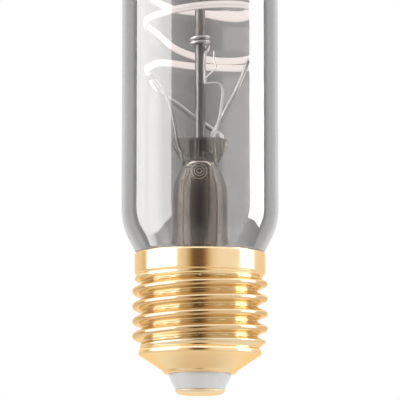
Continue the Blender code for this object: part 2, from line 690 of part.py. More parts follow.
def make_stem(lead_routes, strut_routes):
    """The flared glass tube and the press that seals the leads and holds the post."""
    bell = NECK_RADIUS - TUBE_WALL - FIT_GAP
    press = PRESS_HEIGHT
    outer = [
        (NECK_END_Z, bell, bell, 2.0),
        (NECK_END_Z + 0.1 * FLARE_BELL_HEIGHT, 0.97 * bell, 0.97 * bell, 2.0),
    ]
    for share in (0.32, 0.55, 0.78, 1.0):
        radius = FLARE_RADIUS + (bell - FLARE_RADIUS) * (1 - share) ** 2
        outer.append((NECK_END_Z + share * FLARE_BELL_HEIGHT, radius, radius, 2.0))
    outer.append((FLARE_TOP_Z, FLARE_RADIUS, FLARE_RADIUS, 2.0))
    for share in (0.3, 0.55, 0.8, 1.0):
        narrow = 1 - math.cos(math.pi / 2 * share)
        radius = FLARE_RADIUS + (WAIST_RADIUS - FLARE_RADIUS) * narrow
        outer.append((FLARE_TOP_Z + share * WAIST_RISE, radius, radius, 2.0))
    for share, widen in ((0.2, 0.25), (0.42, 0.55), (0.62, 0.82), (0.78, 1.0)):
        half_width = WAIST_RADIUS + (PRESS_HALF_WIDTH - WAIST_RADIUS) * widen
        half_depth = WAIST_RADIUS + (PRESS_HALF_DEPTH - WAIST_RADIUS) * min(1.0, 1.6 * widen)
        outer.append((WAIST_Z + share * press, half_width, half_depth, 2.0 + min(1.0, 1.6 * widen)))
    edge = 0.5 * PRESS_WALL
    shoulder = PRESS_SHOULDER
    outer.append((PRESS_TOP_Z - edge, PRESS_HALF_WIDTH - 0.4 * shoulder, PRESS_HALF_DEPTH - 0.4 * edge, 3.0))
    outer.append((PRESS_TOP_Z, PRESS_HALF_WIDTH - shoulder, PRESS_HALF_DEPTH - edge, 3.0))
    inner = []
    for z, half_width, _, power in outer[:9]:
        if z < HOLLOW_TOP_Z - FLARE_WALL:
            inner.append((z, half_width - FLARE_WALL, half_width - FLARE_WALL, power))
    inner.append((HOLLOW_TOP_Z, HOLLOW_TOP_RADIUS, HOLLOW_TOP_RADIUS, 2.0))

    shape = bmesh.new()
    outer_rings = [section_ring(shape, *section) for section in outer]
    inner_rings = [section_ring(shape, *section) for section in inner]
    join_rings(shape, [*reversed(inner_rings), *outer_rings])
    shape.faces.new(outer_rings[-1])
    shape.faces.new(inner_rings[-1])
    bmesh.ops.recalc_face_normals(shape, faces=shape.faces)
    mesh = bpy.data.meshes.new("stem_flare")
    shape.to_mesh(mesh)
    shape.free()
    obj = link_piece(bpy.data.objects.new("stem_flare", mesh), "stem_glass")

    above = PRESS_TOP_Z + 2.0 * MM
    for name, route in lead_routes.items():
        bore = [p for p in smooth_route(route) if HOLLOW_TOP_Z - 1.5 * MM < p.z < above]
        cut(obj, wire_cutter("bore_" + name, bore, LEAD_RADIUS + FIT_GAP))
    for name, route in strut_routes.items():
        socket = route[-1] + Vector((0.0, 0.0, -FIT_GAP))
        mouth = route[-1] + Vector((0.0, 0.0, SOCKET_DEPTH + 2.0 * MM))
        cut(obj, wire_cutter("socket_" + name, [mouth, socket], STRUT_RADIUS + FIT_GAP))
    post_socket = [press_point(0.0, 0.0, -2.0 * MM), press_point(0.0, 0.0, SOCKET_DEPTH)]
    cut(obj, wire_cutter("socket_post", post_socket, POST_SIDE))
    exhaust_way = [
        Vector((0.0, 0.0, HOLLOW_TOP_Z - 1.0 * MM)),
        Vector((0.0, 0.0, HOLE_Z - 0.9 * MM)),
        Vector((0.0, -0.8 * MM, HOLE_Z - 0.2 * MM)),
        Vector((0.0, -2.2 * MM, HOLE_Z)),
        Vector((0.0, -FLARE_RADIUS - 1.0 * MM, HOLE_Z)),
    ]
    cut(obj, wire_cutter("exhaust_way", exhaust_way, EXHAUST_HOLE_RADIUS))
    finish_mesh(obj)


def make_exhaust_tube():
    """The tube that the bulb was pumped and filled through, melted shut at its lower end."""
    top = HOLLOW_TOP_Z - FIT_GAP
    tip = NECK_END_Z - EXHAUST_TIP_DROP
    narrow_z = NECK_END_Z + EXHAUST_TAIL_RISE
    wide_z = narrow_z + EXHAUST_TAPER
    tail_inner = EXHAUST_TAIL_RADIUS - EXHAUST_WALL
    profile = [
        (0.0, tip + 2.6 * MM),
        (tail_inner, tip + 3.2 * MM),
        (tail_inner, narrow_z),
        (EXHAUST_RADIUS - EXHAUST_WALL, wide_z),
        (EXHAUST_RADIUS - EXHAUST_WALL, top),
        (EXHAUST_RADIUS, top),
        (EXHAUST_RADIUS, wide_z),
        (EXHAUST_TAIL_RADIUS, narrow_z),
        (EXHAUST_TAIL_RADIUS, tip + 1.2 * MM),
        (0.7 * EXHAUST_TAIL_RADIUS, tip + 0.35 * MM),
        (0.0, tip),
    ]
    finish_mesh(turned("exhaust_tube", profile, SMALL_SIDES, "stem_glass"))


# Post, supports, leads and filament

def make_mount():
    """Everything that the press carries inside the tube."""
    post_top = upper_level(spiral_end()) + POST_RISE
    post_foot = PRESS_TOP_Z - SOCKET_DEPTH + FIT_GAP
    edge = 0.2 * MM
    post = [
        (0.0, post_top),
        (POST_RADIUS - edge, post_top),
        (POST_RADIUS, post_top - edge),
        (POST_RADIUS, post_foot),
        (0.0, post_foot),
    ]
    finish_mesh(turned("centre_post", post, SMALL_SIDES, "bright_metal"))
    coil, lead = right_lead_route()
    wire("right_lead_wire", coil[:-1] + smooth_route(lead), LEAD_RADIUS, "bright_metal")
    wire("left_lead_wire", smooth_route(left_lead_route()), LEAD_RADIUS, "bright_metal")
    wire("left_support_wire", smooth_route(left_strut_route()), STRUT_RADIUS, "bright_metal")
    wire("right_support_wire", smooth_route(right_strut_route()), STRUT_RADIUS, "bright_metal")
    wire("rear_hook_wire", smooth_route(hook_route()), HOOK_RADIUS, "bright_metal")
    wire("top_arm_wire", top_arm_route(), LEAD_RADIUS, "bright_metal")


def make_filament():
    """Two strands in series: a half ring below and the long spiral above, with their pins."""
    end = spiral_end()
    lower = strand_route(lower_level, STRAND_START, LOWER_STRAND_END)
    upper = strand_route(upper_level, STRAND_START, end)
    wire("lower_filament_strand", lower, FILAMENT_RADIUS, "filament_coating")
    wire("spiral_filament_strand", upper, FILAMENT_RADIUS, "filament_coating")
    pin_step = 0.5 * MM
    left_pin = smooth_route(left_pin_route(), pin_step)
    wire("left_filament_pin", left_pin, PIN_RADIUS, "bright_metal")
    link = smooth_route(link_route(), pin_step)
    wire("right_filament_link", link, PIN_RADIUS, "bright_metal")
    pin_angles = [end + GAP_ANGLE, end + TOP_PIN_SWEEP / 2, end + TOP_PIN_SWEEP]
    top_pin = [ring_point(SPIRAL_RADIUS, a, upper_level(end)) for a in pin_angles]
    wire("top_filament_pin", top_pin, PIN_RADIUS, "bright_metal")


# Cap

def thread_radius(angle, z):
    """Radius of the rolled thread: round crests and roots that climb to the right."""
    first_crest = THREAD_FOOT_Z + 1.3 * THREAD_PITCH
    phase = (z - first_crest) / THREAD_PITCH - angle / (2 * math.pi)
    wave = (1 + math.cos(2 * math.pi * phase)) / 2
    return THREAD_ROOT_RADIUS + (THREAD_CREST_RADIUS - THREAD_ROOT_RADIUS) * wave


def thread_share(z):
    """How much of the thread is rolled in: it runs out over a short length at each end."""
    room = min(z - THREAD_FOOT_Z, COLLAR_FOOT_Z - z) / THREAD_RUN_OUT
    t = min(1.0, max(0.0, room))
    return 3 * t**2 - 2 * t**3


def make_shell():
    """The rolled sheet shell: turned-in lip, cone, thread and collar."""
    lip_inner = INSULATOR_LIP_RADIUS + FIT_GAP
    corner = 0.35 * MM
    rows = [
        (lip_inner, LIP_Z),
        (CONE_FOOT_RADIUS - corner, LIP_Z),
        (CONE_FOOT_RADIUS, LIP_Z + corner),
        (BAND_RADIUS - BAND_BULGE, CONE_TOP_Z),
        (BAND_RADIUS, CONE_TOP_Z + 0.45 * BAND_HEIGHT),
        (BAND_RADIUS - 0.3 * BAND_BULGE, THREAD_FOOT_Z - 0.1 * MM),
    ]
    rows_per_pitch = 4.8
    count = round(THREAD_LENGTH / THREAD_PITCH * rows_per_pitch)
    for i in range(count + 1):
        z = THREAD_FOOT_Z + THREAD_LENGTH * i / count
        rows.append((BAND_RADIUS if i < count / 2 else COLLAR_RADIUS, z))
    rows.append((COLLAR_RADIUS, RIM_Z))

    shape = bmesh.new()
    rings = []
    for base, z in rows:
        share = thread_share(z)
        ring = []
        for j in range(CAP_SIDES):
            angle = 2 * math.pi * j / CAP_SIDES
            radius = base + (thread_radius(angle, z) - base) * share
            x = radius * math.cos(angle)
            y = radius * math.sin(angle)
            ring.append(shape.verts.new((x, y, z)))
        rings.append(ring)
    for lower, upper in zip(rings, rings[1:]):
        for j in range(CAP_SIDES):
            k = (j + 1) % CAP_SIDES
            shape.faces.new((lower[j], lower[k], upper[k], upper[j]))
    mesh = bpy.data.meshes.new("cap_shell")
    shape.to_mesh(mesh)
    shape.free()
    obj = link_piece(bpy.data.objects.new("cap_shell", mesh), "gold_plated_steel")
    wall = obj.modifiers.new("wall", "SOLIDIFY")
    wall.thickness = SHELL_WALL
    wall.offset = -1.0
    wall.use_even_offset = False
    finish_mesh(obj)


def make_insulator():
    """The moulded plug that closes the shell and carries the centre contact."""
    bore = CONTACT_STEM_RADIUS + FIT_GAP
    flange_z = LIP_Z + SHELL_WALL + FIT_GAP
    slope = (BAND_RADIUS - CONE_FOOT_RADIUS) / CONE_HEIGHT
    side = SHELL_WALL + FIT_GAP + 0.45 * MM
    flange_foot = CONE_FOOT_RADIUS + (flange_z - LIP_Z) * slope - side
    flange_top = CONE_FOOT_RADIUS + (INSULATOR_TOP_Z - LIP_Z) * slope - side
    profile = [
        (bore, INSULATOR_TOP_Z),
        (flange_top, INSULATOR_TOP_Z),
        (flange_foot, flange_z),
        (INSULATOR_LIP_RADIUS, flange_z),
        (INSULATOR_LIP_RADIUS, LIP_Z),
        (INSULATOR_FOOT_RADIUS, CONTACT_HEIGHT + FIT_GAP),
        (bore, CONTACT_HEIGHT + FIT_GAP),
    ]
    obj = turned("cap_insulator", profile, CAP_SIDES, "white_insulator", closed=True)
    finish_mesh(obj)


def make_contact():
    """The centre contact: a disc with a rivet stem that the lead is soldered into."""
    stem_top = INSULATOR_TOP_Z - 0.6 * MM
    profile = [
        (0.0, stem_top),
        (CONTACT_STEM_RADIUS, stem_top),
        (CONTACT_STEM_RADIUS, CONTACT_HEIGHT),
        (CONTACT_RADIUS - CONTACT_EDGE, CONTACT_HEIGHT),
        (CONTACT_RADIUS, CONTACT_HEIGHT - CONTACT_EDGE),
        ((CONTACT_RADIUS + CONTACT_FLAT_RADIUS) / 2, 0.35 * CONTACT_HEIGHT),
        (CONTACT_FLAT_RADIUS, 0.0),
        (0.0, 0.0),
    ]
    obj = turned("centre_contact", profile, CAP_SIDES, "gold_plated_steel")
    socket = [Vector((0.0, 0.0, stem_top + 1.0 * MM)), Vector((0.0, 0.0, LIP_Z - FIT_GAP))]
    cut(obj, wire_cutter("socket_contact_lead", socket, LEAD_RADIUS + FIT_GAP))
    finish_mesh(obj)


def make_cement():
    """The ring of cement that holds the neck in the collar."""
    inner = NECK_RADIUS + FIT_GAP
    outer = COLLAR_RADIUS - SHELL_WALL - FIT_GAP
    top = RIM_Z - SHOULDER_STEP - FIT_GAP
    foot = NECK_END_Z + 0.4 * MM
    profile = [(inner, top), (outer, top), (outer, foot), (inner, foot)]
    finish_mesh(turned("cap_cement", profile, CAP_SIDES, "cement", closed=True))


# Driver

def make_driver(lead_routes):
    """The circuit board that stands in the cap, with what is soldered to it."""
    board_centre = (0.0, BOARD_Y, (BOARD_FOOT_Z + BOARD_TOP_Z) / 2)
    board_size = (BOARD_WIDTH, BOARD_THICKNESS, BOARD_HEIGHT)
    board = box("driver_board", board_size, board_centre, "circuit_board")
    for name, route in lead_routes.items():
        points = smooth_route(route)
        near = [p for p in points if BOARD_FRONT_Y - 0.45 * MM < p.y and p.z < BOARD_TOP_Z]
        level = near[0].z
        start = Vector((near[0].x, BOARD_FRONT_Y - 0.5 * MM, level))
        end = Vector((near[0].x, BOARD_BACK_Y + 0.5 * MM, level))
        cut(board, wire_cutter("hole_" + name, [start, end], LEAD_RADIUS + 1.4 * FIT_GAP))
    finish_mesh(board)

    front = BOARD_FRONT_Y - FIT_GAP
    back = BOARD_BACK_Y + FIT_GAP
    rectifier_centre = on_board(RECTIFIER_PLACE, front - RECTIFIER_SIZE[1] / 2)
    chip_centre = on_board(CHIP_PLACE, back + CHIP_SIZE[1] / 2)
    small_centre = on_board(CHIP_RESISTOR_PLACE, front - CHIP_RESISTOR_SIZE[1] / 2)
    edge = 0.12 * MM
    finish_mesh(box("bridge_rectifier", RECTIFIER_SIZE, rectifier_centre, "black_plastic", edge))
    finish_mesh(box("driver_chip", CHIP_SIZE, chip_centre, "black_plastic", edge))
    finish_mesh(box("sense_resistor", CHIP_RESISTOR_SIZE, small_centre, "black_plastic", edge))

    groove = 0.25 * MM
    half = CAPACITOR_LENGTH / 2
    can = [
        (0.0, half),
        (CAPACITOR_RADIUS - groove, half),
        (CAPACITOR_RADIUS, half - groove),
        (CAPACITOR_RADIUS, -half + 5 * groove),
        (CAPACITOR_RADIUS - groove, -half + 4 * groove),
        (CAPACITOR_RADIUS, -half + 3 * groove),
        (CAPACITOR_RADIUS, -half),
        (0.0, -half),
    ]
    capacitor = turned("smoothing_capacitor", can, SMALL_SIDES, "black_plastic")
    capacitor.location = on_board(CAPACITOR_PLACE, front - CAPACITOR_RADIUS)
    finish_mesh(capacitor)

    half = RESISTOR_LENGTH / 2
    bead = 1.2 * MM
    body = [
        (0.0, half),
        (RESISTOR_RADIUS - groove, half),
        (RESISTOR_RADIUS, half - groove),
        (RESISTOR_RADIUS, half - bead),
        (0.86 * RESISTOR_RADIUS, half - 1.3 * bead),
        (0.86 * RESISTOR_RADIUS, -half + 1.3 * bead),
        (RESISTOR_RADIUS, -half + bead),
        (RESISTOR_RADIUS, -half + groove),
        (RESISTOR_RADIUS - groove, -half),
        (0.0, -half),
    ]
    resistor = turned("fusible_resistor", body, SMALL_SIDES, "resistor_lacquer")
    resistor.location = on_board(RESISTOR_PLACE, back + RESISTOR_RADIUS)
    finish_mesh(resistor)


def make_cap_wiring():
    wire("contact_lead_wire", smooth_route(contact_lead_route()), LEAD_RADIUS, "bright_metal")
    wire("shell_lead_wire", smooth_route(shell_lead_route()), LEAD_RADIUS, "bright_metal")
    shape = bmesh.new()
    bmesh.ops.create_uvsphere(shape, u_segments=10, v_segments=6, radius=SOLDER_RADIUS)
    mesh = bpy.data.meshes.new("shell_solder_joint")
    shape.to_mesh(mesh)
    shape.free()
    joint = link_piece(bpy.data.objects.new("shell_solder_joint", mesh), "solder")
    joint.location = solder_centre()
    reach = Vector((SOLDER_RADIUS + 1.0 * MM, 0.0, 0.0))
    socket = [solder_centre() + reach, solder_centre() - 0.25 * reach]
    cut(joint, wire_cutter("socket_shell_lead", socket, LEAD_RADIUS + FIT_GAP))
    finish_mesh(joint)


clear_scene()
parts = new_collection("led_filament_bulb")
cutters = new_collection("cutters")
frame = bpy.data.objects.new("bulb_frame", None)
parts.objects.link(frame)

press_leads = {"left_lead": left_lead_route(), "right_lead": right_lead_route()[1]}
press_struts = {"left_strut": left_strut_route(), "right_strut": right_strut_route()}
board_leads = {
    **press_leads,
    "contact_lead": contact_lead_route(),
    "shell_lead": shell_lead_route(),
}
make_envelope()
make_stem(press_leads, press_struts)
make_exhaust_tube()
make_mount()
make_filament()
make_shell()
make_insulator()
make_contact()
make_cement()
make_driver(board_leads)
make_cap_wiring()
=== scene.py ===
import json
import math

import bpy
import numpy as np
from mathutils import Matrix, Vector


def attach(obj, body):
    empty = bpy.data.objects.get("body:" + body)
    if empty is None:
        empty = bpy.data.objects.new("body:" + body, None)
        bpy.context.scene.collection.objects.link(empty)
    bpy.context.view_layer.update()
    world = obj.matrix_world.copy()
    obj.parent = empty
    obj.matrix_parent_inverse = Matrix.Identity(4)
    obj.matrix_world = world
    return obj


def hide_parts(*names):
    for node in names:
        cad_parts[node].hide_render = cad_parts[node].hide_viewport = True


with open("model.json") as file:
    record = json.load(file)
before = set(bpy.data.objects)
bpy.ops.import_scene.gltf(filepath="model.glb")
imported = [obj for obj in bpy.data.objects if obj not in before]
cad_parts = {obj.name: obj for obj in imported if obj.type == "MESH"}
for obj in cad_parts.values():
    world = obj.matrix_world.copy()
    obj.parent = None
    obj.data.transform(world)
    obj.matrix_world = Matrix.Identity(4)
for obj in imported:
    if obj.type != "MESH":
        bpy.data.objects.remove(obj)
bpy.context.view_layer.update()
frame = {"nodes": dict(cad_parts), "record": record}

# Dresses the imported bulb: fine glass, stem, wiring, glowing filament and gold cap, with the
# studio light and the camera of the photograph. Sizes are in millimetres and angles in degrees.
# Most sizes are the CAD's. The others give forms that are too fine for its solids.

MM = 0.001
GAP = 0.25

# Glass tube
BULB_LENGTH = 185.0
TUBE_RADIUS = 15.25
GLASS_WALL = 2.3
DOME_HEIGHT = 13.5
SHOULDER_FOOT_RADIUS = 12.6
SHOULDER_SLOPE = 0.53
SHOULDER_ROUND = 13.0
SHOULDER_STEP = 0.45
NECK_RADIUS = 11.2
TUBE_SIDES = 160

# Cap
LIP_Z = 4.0
THREAD_FOOT_Z = 8.8
COLLAR_FOOT_Z = 23.1
RIM_Z = 27.4
NECK_END_Z = 23.2
SHELL_WALL = 0.3
THREAD_CREST = 13.08
THREAD_ROOT = 11.15
CREST_ROUNDING = 1.5
THREAD_PITCH = 2.9
THREAD_OFFSET = 1.36
THREAD_RUN_OUT = 1.2
FOOT_RUN_OUT = 1.9
SHELL_SIDES = 192
THREAD_ROWS = 118
CONTACT_RADIUS = 4.85
CONTACT_FLAT_RADIUS = 3.9
CONTACT_HEIGHT = 0.95
RIVET_RADIUS = 1.4
RIVET_TOP_Z = 6.15
INSULATOR_TOP_Z = 6.75
INSULATOR_TOP_RADIUS = 9.2
INSULATOR_LIP_RADIUS = 6.05
INSULATOR_FOOT = (4.78, 0.98)
INSULATOR_BORE = 1.65
FOOT_SIDES = 128

# Stem
FLARE_RADIUS = 5.3
FLARE_WALL = 0.8
FLARE_BELL_HEIGHT = 9.0
FLARE_TOP_Z = 38.6
WAIST_Z = 44.6
WAIST_RADIUS = 3.37
PRESS_TOP_Z = 49.85
PRESS_HALF_WIDTH = 5.5
PRESS_HALF_DEPTH = 1.9
PRESS_SHOULDER = 0.8
HOLLOW_TOP_Z = 42.6
HOLLOW_FOOT = 1.5
STEM_SIDES = 96
EXHAUST_RADIUS = 2.13
EXHAUST_TAIL_RADIUS = 1.5
EXHAUST_WALL = 0.28
EXHAUST_LEAN = 0.28
EXHAUST_RISE = 1.75
TAIL_TOP = 7.0
TAPER_TOP = 12.0
ROUND_SIDES = 64

# Wires and filament
POST_RADIUS = 1.0
POST_SIDE = POST_RADIUS + GAP
POST_RISE = 3.5
LEAD_RADIUS = 0.26
STRUT_RADIUS = 0.43
HOOK_RADIUS = 0.2
PIN_RADIUS = 0.35
STRUT_GROWTH = 0.07
FILAMENT_RADIUS = 0.7
FILAMENT_HALF_DEPTH = 0.55
SPIRAL_RADIUS = 10.5
SPIRAL_PITCH = 9.1
SPIRAL_FOOT_Z = 66.0
SPIRAL_END = 3604.0
STRAND_START = 4.0
LOWER_STRAND_END = 174.0
LOWER_STRAND_DROP = 1.75
PIN_TURN = 1.36
COIL_PITCH = 0.9
COIL_Z = SPIRAL_FOOT_Z + 2.0
COIL_START = 130.0
COIL_END = -730.0
HOOK_TURN = 72.5
STRUT_FOOT_X = 4.27
STRUT_FOOT_Y = 0.57
STRUT_DEPTH = 3.15
POST_DEPTH = 4.2
LEAD_BEND_DEPTH = 2.625
SEAL_DEPTH = 4.15
SEAL_X = 2.56
LEAD_DROP_X = 3.265
BOARD_PAD_X = 3.8


# Making meshes

def link(name, mesh, mat, replaced):
    mesh.materials.append(mat)
    obj = bpy.data.objects.new(name, mesh)
    bpy.context.scene.collection.objects.link(obj)
    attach(obj, "root")
    if replaced:
        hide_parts(*replaced)
    return obj


def build(name, verts, faces, mat, slot, *replaced, sharp=40.0, uvs=None):
    """A smooth-shaded piece from points in millimetres."""
    mesh = bpy.data.meshes.new(name)
    mesh.from_pydata([Vector(v) * MM for v in verts], [], faces)
    mesh.validate()
    if uvs is not None:
        layer = mesh.uv_layers.new(name="route")
        for loop in mesh.loops:
            layer.data[loop.index].uv = uvs[loop.vertex_index]
    mesh.shade_smooth()
    mesh.set_sharp_from_angle(angle=math.radians(sharp))
    return link(name, mesh, mat, replaced)


def grid_faces(rows, sides, first=0):
    """Quads between rings of vertices that close round."""
    faces = []
    for r in range(rows - 1):
        for i in range(sides):
            j = (i + 1) % sides
            a = first + r * sides
            faces.append((a + i, a + j, a + sides + j, a + sides + i))
    return faces


def lathe(profile, sides):
    """Verts and faces of an open (radius, z) profile turned round Z, with a pole at radius 0."""
    verts = []
    rings = []
    for radius, z in profile:
        if radius < 1e-6:
            rings.append([len(verts)])
            verts.append((0.0, 0.0, z))
            continue
        rings.append(list(range(len(verts), len(verts) + sides)))
        for i in range(sides):
            a = 2 * math.pi * i / sides
            verts.append((radius * math.cos(a), radius * math.sin(a), z))
    faces = []
    for low, high in zip(rings, rings[1:]):
        for i in range(sides):
            j = (i + 1) % sides
            if len(low) == 1:
                faces.append((low[0], high[j], high[i]))
            elif len(high) == 1:
                faces.append((low[i], low[j], high[0]))
            else:
                faces.append((low[i], low[j], high[j], high[i]))
    return verts, faces


def corner(before, at, after, radius, steps):
    """Points of the arc that rounds a corner of a profile."""
    at = Vector(at)
    u = (Vector(before) - at).normalized()
    v = (Vector(after) - at).normalized()
    half = u.angle(v) / 2
    centre = at + (u + v).normalized() * (radius / math.sin(half))
    reach = radius / math.tan(half)
    first = at + u * reach - centre
    last = at + v * reach - centre
    spokes = [first.lerp(last, i / steps).normalized() * radius for i in range(steps + 1)]
    return [tuple(centre + spoke) for spoke in spokes]


def smooth(points, step=0.5):
    """A smooth curve through points, sampled about every step."""
    points = [Vector(p) for p in points]
    padded = [2 * points[0] - points[1], *points, 2 * points[-1] - points[-2]]
    route = []
    for a, b, c, d in zip(padded, padded[1:], padded[2:], padded[3:]):
        count = max(1, round((c - b).length / step))
        for i in range(count):
            t = i / count
            bend = (2 * a - 5 * b + 4 * c - d) * t**2 + (3 * b - a - 3 * c + d) * t**3
            route.append(b + ((c - a) * t + bend) / 2)
    route.append(points[-1])
    return route


def sweep(route, sections, upright=None):
    """Verts, faces and (length, turn) pairs of (side, up) sections along a route."""
    route = [Vector(p) for p in route]
    count = len(sections[0])
    verts = []
    coords = []
    side = None
    run = 0.0
    for i, place in enumerate(route):
        ahead = route[min(i + 1, len(route) - 1)] - route[max(i - 1, 0)]
        ahead.normalize()
        if upright is not None:
            side = ahead.cross(upright).normalized()
        elif side is None:
            side = ahead.orthogonal().normalized()
        else:
            side = (side - ahead * side.dot(ahead)).normalized()
        up = side.cross(ahead)
        if i:
            run += (place - route[i - 1]).length
        for k, (s, u) in enumerate(sections[i]):
            verts.append(place + side * s + up * u)
            coords.append((run, k / count))
    faces = grid_faces(len(route), count)
    faces.append(tuple(range(count))[::-1])
    faces.append(tuple(range(len(verts) - count, len(verts))))
    return verts, faces, coords


def circle(radius, sides=16):
    angles = [2 * math.pi * i / sides for i in range(sides)]
    return [(radius * math.cos(a), radius * math.sin(a)) for a in angles]


def wire(name, route, radius, mat, *replaced):
    """A round wire with rounded ends."""
    route = [Vector(p) for p in route]
    first = (route[1] - route[0]).normalized() * radius
    last = (route[-2] - route[-1]).normalized() * radius
    head = [route[0], route[0] + 0.15 * first, route[0] + 0.5 * first]
    foot = [route[-1] + 0.5 * last, route[-1] + 0.15 * last, route[-1]]
    middle = []
    for p in route[1:-1]:
        between = (p - head[-1]).dot(first) > 0 and (p - foot[0]).dot(last) > 0
        if between or min((p - route[0]).length, (p - route[-1]).length) > 2 * radius:
            middle.append(p)
    sizes = [0.55, 0.85, 1.0] + [1.0] * len(middle) + [1.0, 0.85, 0.55]
    verts, faces, coords = sweep(head + middle + foot, [circle(radius * size) for size in sizes])
    return build(name, verts, faces, mat, "wire_metal", *replaced, uvs=coords, sharp=60.0)


def ring(radius, degrees, z):
    """A point at a radius, an azimuth and a height."""
    a = math.radians(degrees)
    return Vector((radius * math.cos(a), radius * math.sin(a), z))


# Materials

def material(name, colour, roughness, metallic=0.0, **sockets):
    """A Principled material and its tools for adding nodes."""
    mat = bpy.data.materials.new(name)
    mat.use_nodes = True
    tree = mat.node_tree
    shader = tree.nodes["Principled BSDF"]
    shader.inputs["Base Color"].default_value = (*colour, 1.0)
    shader.inputs["Roughness"].default_value = roughness
    shader.inputs["Metallic"].default_value = metallic
    for key, value in sockets.items():
        shader.inputs[key.replace("_", " ")].default_value = value
    return mat, tree, shader


def node(tree, kind, **settings):
    """A node, with its inputs by name or number and its attributes by name."""
    made = tree.nodes.new("ShaderNode" + kind)
    for key, value in settings.items():
        if key.startswith("in_"):
            key = key[3:]
            socket = made.inputs[int(key) if key.isdigit() else key.replace("_", " ")]
            if isinstance(value, bpy.types.NodeSocket):
                tree.links.new(value, socket)
            else:
                socket.default_value = value
        else:
            setattr(made, key, value)
    return made


def math_node(tree, operation, *values):
    settings = {f"in_{i}": v for i, v in enumerate(values)}
    return node(tree, "Math", operation=operation, **settings).outputs[0]


def mixed(tree, factor, first, second):
    return node(tree, "Mix", data_type="RGBA", in_0=factor, in_6=first, in_7=second).outputs[2]


def ramp(tree, factor, stops, interpolation="LINEAR"):
    """A colour ramp with (position, colour or grey) stops."""
    made = node(tree, "ValToRGB", in_0=factor)
    band = made.color_ramp
    band.interpolation = interpolation
    while len(band.elements) < len(stops):
        band.elements.new(0.5)
    for element, (position, colour) in zip(band.elements, stops):
        element.position = position
        if isinstance(colour, (int, float)):
            colour = (colour,) * 3
        element.color = (*colour, 1.0)
    return made.outputs[0]


def edge_mask(tree, value, low, high):
    """0 below low, 1 above high, smooth between."""
    made = node(tree, "MapRange", in_0=value, in_1=low, in_2=high,
                interpolation_type="SMOOTHSTEP")
    return made.outputs[0]


def noise(tree, scale, detail=3.0, stretch=(1, 1, 1), roughness=0.55):
    """Noise in object space; scale is in features per metre."""
    place = node(tree, "TexCoord").outputs["Object"]
    mapping = node(tree, "Mapping", in_Vector=place, in_Scale=stretch)
    made = node(tree, "TexNoise", in_Vector=mapping.outputs[0], in_Scale=scale, in_Detail=detail,
                in_Roughness=roughness)
    return made.outputs[0]


def rough_and_bump(tree, shader, height, low, high, strength, distance):
    """Roughness and fine relief from one pattern."""
    rough = node(tree, "MapRange", in_0=height, in_3=low, in_4=high).outputs[0]
    tree.links.new(rough, shader.inputs["Roughness"])
    bump = node(tree, "Bump", in_Strength=strength, in_Distance=distance, in_Height=height)
    tree.links.new(bump.outputs[0], shader.inputs["Normal"])


def radius_and_level(tree):
    """Distance from the bulb's axis and height, in millimetres."""
    place = node(tree, "TexCoord").outputs["Object"]
    flat = node(tree, "VectorMath", operation="MULTIPLY", in_0=place, in_1=(1, 1, 0))
    radius = node(tree, "VectorMath", operation="LENGTH", in_0=flat.outputs[0]).outputs["Value"]
    level = node(tree, "SeparateXYZ", in_0=place).outputs[2]
    return math_node(tree, "DIVIDE", radius, MM), math_node(tree, "DIVIDE", level, MM)


def grained(mats, slot, name, colour, roughness, grain, tones, relief, metallic=0.0, **sockets):
    """A material whose tone, roughness and relief follow one grain of (scale, detail)."""
    mat, tree, shader = material(name, colour, roughness, metallic, **sockets)
    pattern = noise(tree, *grain)
    if tones:
        tree.links.new(ramp(tree, pattern, tones), shader.inputs["Base Color"])
    rough_and_bump(tree, shader, pattern, *relief)
    mats[slot] = mat


SMOKE = (0.50, 0.492, 0.487)
SMOKE_SPREAD = 0.03
STEM_TINT = (0.68, 0.625, 0.57)
EXHAUST_TINT = (0.33, 0.285, 0.245)
GLASS_IOR = 1.5
STREAKS = [(0.44, (0.2, 0.17, 0.15)), (0.56, (0.38, 0.34, 0.3)), (0.66, (0.95, 0.92, 0.88))]


def press_streaks(tree, tint):
    """The stem's tint, with the drawn streaks of the dark middle of the press."""
    place = node(tree, "SeparateXYZ", in_0=node(tree, "TexCoord").outputs["Object"]).outputs
    across = math_node(tree, "DIVIDE", math_node(tree, "ABSOLUTE", place[0]), MM)
    level = math_node(tree, "DIVIDE", place[2], MM)
    above = edge_mask(tree, level, WAIST_Z, WAIST_Z + 0.8)
    below = edge_mask(tree, level, PRESS_TOP_Z, PRESS_TOP_Z - 0.7)
    zone = math_node(tree, "MULTIPLY", edge_mask(tree, across, 2.3, 1.9), above)
    zone = math_node(tree, "MULTIPLY", zone, below)
    streak = ramp(tree, noise(tree, 1400.0, 2.0, (1, 0.3, 0.06)), STREAKS)
    return mixed(tree, zone, (*tint, 1.0), streak)


